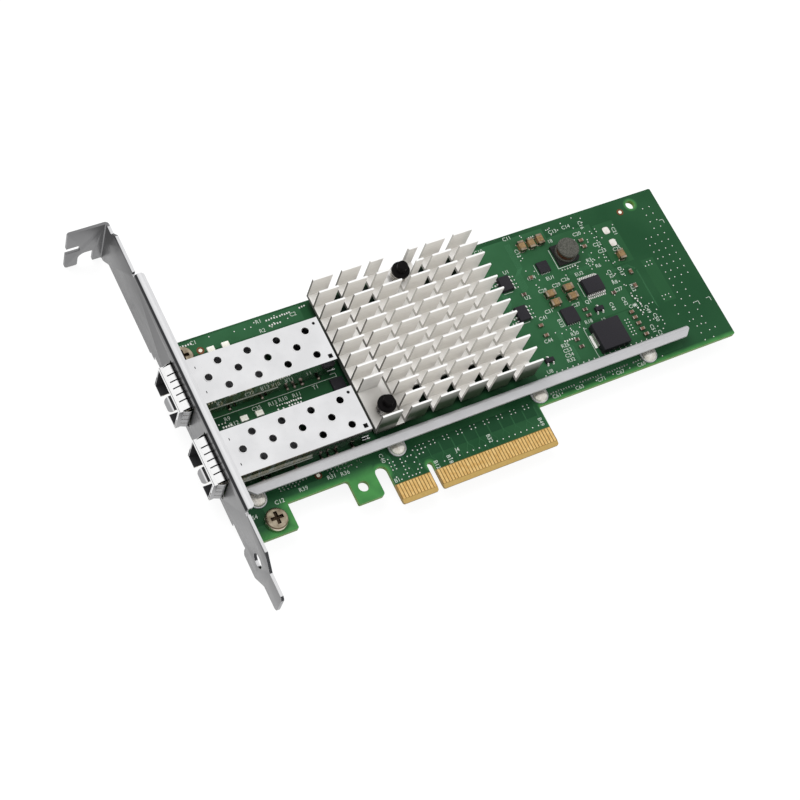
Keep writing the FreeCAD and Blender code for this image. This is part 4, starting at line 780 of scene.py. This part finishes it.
def make_board_surface():
    """Copper pours and traces under the solder mask."""
    flat_piece("light_copper_pours", LIGHT_POURS, SEAT, POUR_HEIGHT, "pour_light")
    flat_piece("dark_copper_pours", DARK_POURS, SEAT, POUR_HEIGHT, "pour_dark")
    traces = []
    for start, turns, count in TRACE_BUNDLES:
        traces += bundle(start, turns, count)
    flat_piece("masked_traces", traces, SEAT, TRACE_HEIGHT, "trace")
    traces = []
    for i in range(0, len(CONTACT_X), 2):
        x = CONTACT_X[i]
        end = x + (CONTACT_TRACE_BEND if i % 4 else -CONTACT_TRACE_BEND)
        traces.append(ribbon([(x, 6.0), (x, 8.6), (end, 9.8), (end, 13.4)], TRACE_WIDTH))
    flat_piece("connector_traces", traces, SEAT, TRACE_HEIGHT, "pour_light")


VIA_RADIUS = 0.19
VIA_SPACING = 0.55             # least distance between two plated holes
LEAD_VIA_GAP = 0.9             # plated hole beside a chip's lead
PAIR_FIRST = 3.0               # signal pairs above the contacts
PAIR_STEP = 4.5
PAIR_COUNT = 8
PAIR_WIDTH = 1.4
PAIR_LOW_Y = 13.5
PAIR_HIGH_Y = 14.5
VIA_PITCH = 2.5
VIA_ROWS = (
    # first x, first y, step in x, step in y, count
    (100.0, 14.2, 0.0, VIA_PITCH, 16), (102.0, 36.7, 0.0, VIA_PITCH, 7), (103.2, 14.2, 0.0, VIA_PITCH, 9),
    (104.5, 36.7, 0.0, VIA_PITCH, 11), (107.0, 36.7, 0.0, VIA_PITCH, 11),
    (2.0, 7.4, 2.5, 0.0, 4), (12.0, 7.4, 2.0, 0.0, 5), (22.0, 7.4, 2.0, 0.0, 8),
    (46.0, 20.8, 1.9, 0.0, 22), (48.0, 14.1, 6.0, 0.0, 7), (44.0, 30.4, 0.9, 0.0, 5),
    (44.0, 38.8, 0.9, 0.0, 5),
    (45.0, 56.0, 1.1, 0.0, 3), (45.0, 64.4, 1.1, 0.0, 3), (90.0, 48.5, 0.0, 2.1, 4),
    (92.0, 57.2, 0.0, 1.3, 3),
    (-33.2, 39.8, 0.8, 0.0, 4), (-51.0, 40.1, 0.95, 0.0, 3),
)
VIA_GRIDS = (
    # first x, first y, pitch, columns, rows, share that is filled
    (-10.8, 6.8, 1.15, 8, 7, 0.6), (-1.4, 12.0, 1.25, 3, 3, 0.8), (78.8, 23.6, 1.05, 2, 6, 0.9),
    (85.2, 22.2, 1.3, 5, 10, 0.45), (94.6, 31.0, 1.2, 4, 2, 0.6), (94.8, 43.2, 1.2, 3, 2, 0.7),
)
VIA_CLUSTERS = (
    # low x, low y, high x, high y, count
    (66.0, 47.5, 86.0, 51.4, 26), (80.0, 34.0, 88.0, 46.0, 18), (60.5, 62.8, 84.0, 66.4, 22),
    (-45.0, 62.6, -16.0, 66.6, 10), (77.0, 52.5, 86.5, 60.5, 22), (55.5, 30.4, 66.0, 32.6, 12),
    (57.0, 46.0, 60.0, 61.5, 9), (93.0, 14.6, 110.0, 34.0, 7), (-24.0, 13.6, -15.0, 16.8, 7),
)


def via_places():
    """Plated holes: rows and grids of the layout, rows beside the chips' leads and loose clusters."""
    dice = random.Random(11)
    places = []
    for i in range(PAIR_COUNT):
        x = PAIR_FIRST + i * PAIR_STEP
        places += [(x, PAIR_LOW_Y), (x, PAIR_HIGH_Y)]
        places += [(x + PAIR_WIDTH, PAIR_HIGH_Y), (x + PAIR_WIDTH, PAIR_LOW_Y)]
    for x, y, step_x, step_y, count in VIA_ROWS:
        places += [(x + i * step_x, y + i * step_y) for i in range(count)]
    for x, y, pitch, columns, rows, share in VIA_GRIDS:
        places += [(x + i * pitch, y + k * pitch) for i in range(columns) for k in range(rows)
                   if dice.random() < share]
    for low, high in loose_boxes("memory_chip_leads"):
        centre = (low.y + high.y) / 2
        places += [(low.x - LEAD_VIA_GAP, centre), (high.x + LEAD_VIA_GAP, centre)]
    for x0, y0, x1, y1, count in VIA_CLUSTERS:
        places += [(dice.uniform(x0, x1), dice.uniform(y0, y1)) for _ in range(count)]
    return places


def part_boxes():
    """Footprints of the parts on the board, which printing and plated holes keep clear of."""
    names = ("interface_chip_leads", "interface_chip", "power_controller", "regulator", "moulded_inductor",
             "moulded_inductor_terminals", "drum_inductor_base")
    boxes = [node_box(name) for name in names]
    for name in ("large_capacitors", "small_capacitor_terminals", "resistor_terminals", "memory_chip_leads",
                 "memory_chips", "transistors", "transistor_leads", "status_leds", "bracket_screws",
                 "stiffener_rivets", "large_capacitor_terminals"):
        boxes += loose_boxes(name)
    return boxes


def loose_boxes(name):
    """Box of each separate solid in a node, in millimetres."""
    work = bmesh.new()
    work.from_mesh(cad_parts[name].data)
    bmesh.ops.remove_doubles(work, verts=work.verts, dist=0.001 * MM)
    left = set(work.verts)
    boxes = []
    while left:
        queue = [left.pop()]
        island = list(queue)
        while queue:
            for edge in queue.pop().link_edges:
                for corner in edge.verts:
                    if corner in left:
                        left.discard(corner)
                        queue.append(corner)
                        island.append(corner)
        axes = [[corner.co[k] / MM for corner in island] for k in range(3)]
        boxes.append((Vector([min(a) for a in axes]), Vector([max(a) for a in axes])))
    work.free()
    return boxes


def is_clear(x, y, boxes, margin):
    return not any(low.x - margin < x < high.x + margin and low.y - margin < y < high.y + margin
                   for low, high in boxes)


def label_boxes():
    """Footprints of the lettering."""
    boxes = []
    for words, x, y, upright in LEGEND:
        along, across = 0.52 * len(words) + 0.1, 0.7
        reach = Vector((across, along, 0)) if upright else Vector((along, across, 0))
        boxes.append((Vector((x, y, 0)) - reach, Vector((x, y, 0)) + reach))
    return boxes


def make_vias(boxes):
    """Tinned rings on both faces, clear of the parts, the lettering and one another."""
    chosen = []
    printed = label_boxes()
    for x, y in via_places():
        apart = all((x - a) ** 2 + (y - b) ** 2 > VIA_SPACING ** 2 for a, b in chosen)
        if apart and is_clear(x, y, boxes, 0.25) and is_clear(x, y, printed, 0.1):
            chosen.append((x, y))
    size = {"Radius": VIA_RADIUS, "Height": PAD_HEIGHT}
    for name, level in (("via_rings", PAD_HEIGHT / 2 + SEAT),
                        ("via_rings_solder_side", BOARD_LOW.z - PAD_HEIGHT / 2 - SEAT)):
        scattered(name, disc_shape(10), size, [((x, y, level),) for x, y in chosen], "tin")


FIDUCIALS = ((-46.5, 63.1), (-31.4, 16.4), (96.65, 63.0))


def make_fiducials():
    """Bare copper rings with a bright centre, for placing the parts."""
    for name, sides, radius, height, level, finish in (("fiducial_rings", 24, 1.12, 0.05, 0.03, "copper"),
                                                       ("fiducial_dots", 20, 0.55, 0.07, 0.05, "cream")):
        scattered(name, disc_shape(sides), {"Radius": radius, "Height": height},
                  [((x, y, level),) for x, y in FIDUCIALS], finish)


# label, x, y, upright; capital letters and numbers that only count the parts
LEGEND = (
    ("C11", 56.8, 66.4, 0), ("C13", 72.0, 63.9, 0), ("C14", 76.9, 64.0, 0), ("C16", 81.9, 63.1, 1),
    ("18", 69.6, 61.1, 0), ("C12", 57.6, 60.7, 1), ("C24", 57.7, 51.6, 0), ("EU1", 63.4, 49.7, 0),
    ("C28", 58.9, 46.5, 0), ("U1", 51.0, 56.0, 0), ("U2", 53.3, 46.0, 0), ("C10", 46.1, 65.1, 0),
    ("C20", 79.1, 60.6, 0), ("C22", 83.6, 55.2, 0), ("C23", 84.0, 52.6, 0), ("C21", 91.4, 57.6, 1),
    ("C25", 89.0, 51.7, 0), ("R3", 78.3, 51.1, 0), ("R6", 80.2, 48.4, 0), ("C32", 82.4, 44.6, 1),
    ("EU2", 72.9, 47.9, 0), ("C26", 67.6, 47.6, 0), ("R8", 82.4, 41.5, 0), ("C37", 82.2, 38.9, 0),
    ("D13", 86.2, 44.3, 1), ("R22", 86.9, 37.9, 1), ("C42", 82.0, 34.7, 1), ("C48", 83.8, 32.3, 0),
    ("C43", 77.4, 34.4, 1), ("R18", 67.6, 32.3, 0), ("12", 72.4, 31.2, 0), ("Q1", 70.9, 38.4, 0),
    ("EU3", 58.9, 34.8, 1), ("C31", 57.4, 39.6, 0), ("C29", 64.0, 46.8, 0), ("R30", 61.4, 30.2, 0),
    ("C44", 52.4, 30.8, 0), ("C41", 54.6, 38.2, 0), ("R25", 56.6, 27.7, 0), ("C53", 56.5, 26.0, 0),
    ("C54", 56.3, 24.4, 0), ("R32", 56.0, 22.8, 0), ("U8", 47.9, 21.6, 0), ("C61", 46.0, 13.9, 0),
    ("C63", 54.0, 13.9, 0), ("C71", 61.8, 13.9, 0), ("C67", 68.5, 13.9, 0), ("C69", 76.2, 13.9, 0),
    ("C49", 87.7, 29.8, 1), ("C50", 88.9, 26.4, 1), ("C51", 85.9, 23.3, 1), ("C55", 87.4, 20.8, 1),
    ("R31", -28.0, 14.7, 0), ("R36", -24.0, 14.3, 0), ("R39", -37.0, 14.2, 0), ("C12", -44.8, 13.2, 0),
    ("S4", -53.1, 11.4, 0), ("C40", -12.2, 14.6, 1), ("R1", -27.1, 66.0, 0), ("R2", -27.2, 62.9, 0),
    ("C2", -16.6, 64.8, 0), ("C35", -39.0, 41.1, 0), ("R9", -48.1, 41.0, 0), ("R12", -46.8, 39.0, 0),
    ("C1", -47.5, 66.0, 0), ("R13", -34.1, 40.9, 0), ("R10", -30.8, 41.1, 0), ("R11", -26.5, 41.0, 0),
    ("J4", 9.6, 9.2, 0), ("B1", -11.0, 7.0, 0), ("B12", 1.9, 7.2, 1), ("B18", 6.2, 7.4, 1),
    ("B32", 20.2, 9.0, 1), ("B49", 37.3, 8.2, 1), ("T1", -20.4, 41.3, 0), ("C27", 66.6, 38.7, 0),
)
LETTER_SIZE = 1.75
LETTER_TRIM = 0.004            # swells the strokes a little
OUTLINE_WIDTH = 0.16
OUTLINE_GAP = 0.5              # part outlines stand this far off the part
CORNER_TICKS = ((107.6, 56.2), (107.9, 26.8), (103.6, 26.8))
TICK = 1.3
CAGE_OUTLINE = ((-54.5, 42.35), (-13.9, 42.39), (-13.2, 42.3), (-13.2, 43.45), (-14.9, 43.5))


def text_mesh(words, size_mm, x, y, turn, height):
    """Raised lettering, as a closed mesh in the card's frame."""
    curve = bpy.data.curves.new("legend_text", "FONT")
    curve.body = words
    curve.size = size_mm
    curve.align_x = "CENTER"
    curve.align_y = "CENTER"
    curve.extrude = height / 2
    curve.offset = LETTER_TRIM
    curve.resolution_u = 2
    mesh = evaluated_mesh(linked("legend_text", curve))
    mesh.transform(Matrix.Scale(MM, 4) @ Matrix.Translation((x, y, height / 2))
                   @ Matrix.Rotation(turn, 4, "Z"))
    return mesh


def make_legend():
    """White part numbers, part outlines and corner ticks on the component face."""
    work = bmesh.new()
    for words, x, y, upright in LEGEND:
        mesh = text_mesh(words, LETTER_SIZE, x, y, -math.pi / 2 * upright, LETTER_HEIGHT)
        work.from_mesh(mesh)
        bpy.data.meshes.remove(mesh)
    add_piece("board_lettering", mesh_of("board_lettering", work), "letters")
    lines = []
    line = OUTLINE_WIDTH
    for name in ("regulator", "power_controller", "interface_chip"):
        low, high = node_box(name)
        edge = low.x - OUTLINE_GAP
        lines.append(strip((edge, low.y), (edge, high.y), line))
    for low, high in loose_boxes("memory_chips"):
        lines.append(strip((low.x + 0.4, low.y - 0.4), (high.x - 0.4, low.y - 0.4), line))
    low, high = node_box("moulded_inductor")
    edge, top = low.x - 1.35, high.y + 0.2
    lines.append(strip((edge, low.y - 0.6), (edge, top), line))
    lines.append(strip((edge, top), (edge + 1.0, top), line))
    low, high = node_box("drum_inductor_base")
    edge, bottom = low.x - OUTLINE_GAP, low.y - OUTLINE_GAP
    lines.append(ribbon([(edge, high.y - 0.6), (edge, bottom), (high.x - 0.2, bottom)], line * 1.4))
    lines.append(ribbon(CAGE_OUTLINE, line))
    for x, y in CORNER_TICKS:
        lines.append(strip((x, y), (x + TICK, y), line))
        lines.append(strip((x + TICK, y), (x + TICK, y - TICK), line))
    flat_piece("board_outlines", lines, SEAT, LETTER_HEIGHT, "letters")


def cushion(work, x, y, width, depth, height):
    """Solder swollen over a square land with rounded corners, as a closed form."""
    corners = 24
    rings = []
    for size, level in ((1.0, -0.02), (1.0, 0.3), (0.93, 0.62), (0.74, 0.88), (0.4, 1.0)):
        ring = []
        for i in range(corners):
            turn = 2 * math.pi * i / corners
            reach = (abs(math.cos(turn)) ** 4 + abs(math.sin(turn)) ** 4) ** -0.25
            ring.append(work.verts.new(((x + width / 2 * size * reach * math.cos(turn)) * MM,
                                        (y + depth / 2 * size * reach * math.sin(turn)) * MM,
                                        height * level * MM)))
        rings.append(ring)
    for low, high in zip(rings, rings[1:]):
        for i in range(corners):
            k = (i + 1) % corners
            work.faces.new((low[i], low[k], high[k], high[i]))
    work.faces.new(rings[-1])
    work.faces.new(rings[0][::-1])


PAD_ROWS = (
    # first x, first y, count, step, turn
    (-43.3, 16.7, 9, 1.05, 0.0), (-43.2, 15.9, 6, 1.1, 0.0), (-28.3, 16.9, 6, 1.15, 0.0),
    (-28.1, 15.9, 7, 1.15, 0.0), (-30.2, 39.7, 7, 0.72, 0.0), (-33.4, 38.6, 2, 1.6, 0.0),
    (-29.9, 38.6, 5, 0.9, 0.0), (-50.1, 39.0, 4, 0.8, 0.0), (44.6, 15.2, 10, 0.9, 0.0),
    (55.0, 15.3, 9, 0.9, 0.0), (64.5, 15.3, 9, 0.9, 0.0), (74.0, 15.4, 5, 0.9, 0.0),
    (85.3, 35.4, 4, 1.15, -1.2), (84.6, 32.3, 4, 1.1, -1.2), (57.2, 28.9, 5, 0.85, 0.0),
    (68.4, 50.9, 6, 0.95, 0.0), (-24.8, 65.6, 5, 0.85, 0.0), (-24.6, 63.7, 5, 0.85, 0.0),
    (-20.4, 65.7, 5, 0.75, 0.0), (-13.9, 66.2, 3, 0.8, 0.0), (-51.4, 66.0, 5, 0.8, 0.0),
)
LAND_PLACES = ((88.9, 58.6), (88.9, 54.1))
LAND_SIZE = (2.3, 2.5, 0.34)
CHIP_PADS = 6                  # bare pads on a side of each leadless chip


def make_pads(boxes):
    """Solder fillets at part ends, bare pads, and rows of small empty pads."""
    dice = random.Random(5)
    mounds = []
    for name in ("large_capacitor_terminals", "small_capacitor_terminals", "resistor_terminals"):
        for low, high in loose_boxes(name):
            size = high - low
            x, y = (low.x + high.x) / 2, (low.y + high.y) / 2
            mounds.append(((x, y, 0.02), (0, 0, 0), (size.x * 0.92, size.y * 0.92, 0.5)))
    scattered("solder_fillets", dome_shape, {"Radius": 0.72}, mounds, "solder")
    work = bmesh.new()
    for x, y in LAND_PLACES:
        cushion(work, x, y, *LAND_SIZE)
    add_piece("empty_capacitor_lands", mesh_of("empty_capacitor_lands", work), "rivet", 60.0)
    pads = []
    for name in ("power_controller", "regulator", "port_chip"):
        low, high = node_box(name)
        for i in range(CHIP_PADS):
            x = low.x + 0.5 + i * (high.x - low.x - 1.0) / (CHIP_PADS - 1)
            y = low.y + 0.5 + i * (high.y - low.y - 1.0) / (CHIP_PADS - 1)
            pads.append(((x, low.y - 0.12, 0.02), (0, 0, 0), (0.28, 0.5, 1)))
            pads.append(((high.x + 0.12, y, 0.02), (0, 0, 0), (0.5, 0.28, 1)))
    for x0, y0, count, step, turn in PAD_ROWS:
        for i in range(count):
            x = x0 + i * step * math.cos(turn)
            y = y0 + i * step * math.sin(turn) + dice.uniform(-0.1, 0.1)
            if is_clear(x, y, boxes, 0.2):
                pads.append(((x, y, 0.02), (0, 0, 0), (0.42, 0.5, 1)))
    scattered("bare_pads", block_shape, {"Height": PAD_HEIGHT}, pads, "tin")
    feet = []
    for name in ("memory_chip_leads", "interface_chip_leads", "transistor_leads"):
        for low, high in loose_boxes(name):
            size = high - low
            feet.append((((low.x + high.x) / 2, (low.y + high.y) / 2, 0.015), (0, 0, 0),
                         (size.x * 1.25, size.y * 1.25, 1)))
    scattered("lead_pads", block_shape, {"Height": PAD_HEIGHT}, feet, "tin")


VENT_FIRST = {-1: 16.35, 0: 11.9, 1: 16.35}      # first vent of each row, from the cage's mouth
VENT_PITCH = 9.0
VENT_ROW_GAP = 3.95
VENTS_IN_ROW = 4
CAGE_FEET = ((16.6, 0.8), (26.6, 0.8), (34.5, 0.7), (36.7, 0.7), (39.2, 0.9), (44.4, 0.9))     # place, width


def make_cage_details():
    """Raised rims round the vents, cover edges and tabs on the flanks, solder round the legs."""
    rims, edges, tabs, legs, feet = [], [], [], [], []
    for low, high in CAGES.values():
        centre = (low.y + high.y) / 2
        for row, first in VENT_FIRST.items():
            for i in range(VENTS_IN_ROW):
                x = low.x + first + i * VENT_PITCH
                rims.append(((x, centre + row * VENT_ROW_GAP, high.z + 0.01),))
        for side, y in ((-1, low.y), (1, high.y)):
            edges.append(((low.x + 19.6, y + side * 0.04, 4.2), (0, 0.02, 0), (22.4, 0.12, 1.9)))
            tabs.append(((low.x + 47.7, y + side * 0.10, 3.0), (0, 0.06, 0), (2.4, 0.18, 1.2)))
            for i in range(4):
                x = low.x + 9.0 + i * 9.5
                inner = centre + side * (7.05 - 0.5)
                legs.append(((x, inner, BOARD_LOW.z - 0.1), (0, 0, 0), (1.25, 0.9, 0.9)))
            for place, width in CAGE_FEET:
                feet.append(((low.x + place, y + side * 0.1, 0.01), (0, 0, 0), (width, 0.8, 0.9)))
    # the vent rims and side tabs take the near-white painted highlight
    scattered("vent_rims", ring_shape, {"Radius": 1.19, "Wire": 0.13}, rims, "rim", 60.0)
    scattered("leg_solder", dome_shape, {"Radius": 0.75}, legs, "tin", 60.0)
    scattered("foot_solder", dome_shape, {"Radius": 0.75}, feet, "screw_tin", 60.0)
    scattered("cover_side_edges", block_shape, {"Height": 0.32}, edges, "edge_sheet")
    scattered("cover_side_tabs", block_shape, {"Height": 0.45}, tabs, "rim")


# ---- Floor, light and camera
LENS_MM = 79.71
CAMERA_PLACE = (-190.609, -126.371, 441.648)
CAMERA_RIGHT = (0.8712, -0.4369, 0.2240)
CAMERA_UP = (0.3126, 0.8454, 0.4332)
CAMERA_BACK = (-0.3786, -0.3074, 0.8730)
FLOOR_DROP = 0.0005            # metres under the card's lowest point
FLOOR_REACH = 6.0              # metres from the card's middle
FLOOR_PAINT = 0.16
FLOOR_GLOW = 0.88
WORLD_LEVEL = 0.70
LIT_POINT = (0.02, 0.04, 0)
LAMPS = (
    # name, place, width in metres, watts
    ("key", (-0.25, 0.30, 0.75), 0.5, 4.0),
    ("fill", (0.45, -0.45, 0.55), 0.6, 1.5),
)


def clean_strength(tree, low, high):
    """Strength that is high for camera, glossy and transmission rays and low for the others."""
    path = tree.nodes.new("ShaderNodeLightPath").outputs
    total = path["Is Camera Ray"]
    for kind in ("Is Glossy Ray", "Is Transmission Ray"):
        total = add_node(tree, "ShaderNodeMath", total, path[kind], operation="MAXIMUM")
    return add_node(tree, "ShaderNodeMapRange", To_Min=low, To_Max=high, Value=total)


def white_floor():
    """Floor under the card, white to the eye and in reflections, with the card's faint shadow."""
    low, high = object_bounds()
    level = low[2] - FLOOR_DROP
    middle = Vector(((low[0] + high[0]) / 2, (low[1] + high[1]) / 2, 0))
    mesh = bpy.data.meshes.new("floor")
    corners = [(middle.x + a * FLOOR_REACH, middle.y + b * FLOOR_REACH, level)
               for a, b in ((-1, -1), (1, -1), (1, 1), (-1, 1))]
    mesh.from_pydata(corners, [], [(0, 1, 2, 3)])
    floor = linked("floor", mesh)
    material = bpy.data.materials.new("floor_white")
    material.use_nodes = True
    tree = material.node_tree
    tree.nodes.clear()
    paint = add_node(tree, "ShaderNodeBsdfDiffuse", Color=(FLOOR_PAINT, FLOOR_PAINT, FLOOR_PAINT, 1))
    glow = add_node(tree, "ShaderNodeEmission", Strength=clean_strength(tree, 0.0, FLOOR_GLOW))
    output = tree.nodes.new("ShaderNodeOutputMaterial")
    tree.links.new(add_node(tree, "ShaderNodeAddShader", paint, glow), output.inputs["Surface"])
    mesh.materials.append(material)


def studio_world():
    """Even pale surroundings, white to the eye and in reflections."""
    world = bpy.data.worlds.new("studio")
    bpy.context.scene.world = world
    world.use_nodes = True
    background = world.node_tree.nodes["Background"]
    background.inputs["Color"].default_value = (1, 1, 1, 1)
    feed(world.node_tree, background.inputs["Strength"], clean_strength(world.node_tree, WORLD_LEVEL, 1.0))


def soft_lamp(name, place, size, watts):
    """Square studio lamp that points at the card."""
    lamp = bpy.data.lights.new(name, "AREA")
    lamp.energy = watts
    lamp.size = size
    holder = linked(name, lamp)
    holder.location = place
    holder.rotation_euler = (Vector(LIT_POINT) - Vector(place)).to_track_quat("-Z", "Y").to_euler()
    holder.visible_glossy = False


def card_camera():
    """Long lens, high and to the left of the card."""
    camera = bpy.data.cameras.new("card_camera")
    camera.lens = LENS_MM
    camera.sensor_width = 36.0
    camera.clip_start = 0.01
    camera.clip_end = 20.0
    holder = linked("card_camera", camera)
    axes = Matrix((CAMERA_RIGHT, CAMERA_UP, CAMERA_BACK)).transposed()
    holder.matrix_world = Matrix.Translation(Vector(CAMERA_PLACE) * MM) @ axes.to_4x4()
    bpy.context.scene.camera = holder


def main():
    bpy.context.scene.view_settings.view_transform = "Standard"
    finish_solids()
    boxes = part_boxes()
    make_board_surface()
    make_vias(boxes)
    make_fiducials()
    make_legend()
    make_pads(boxes)
    make_cage_details()
    white_floor()
    studio_world()
    for lamp in LAMPS:
        soft_lamp(*lamp)
    card_camera()


main()
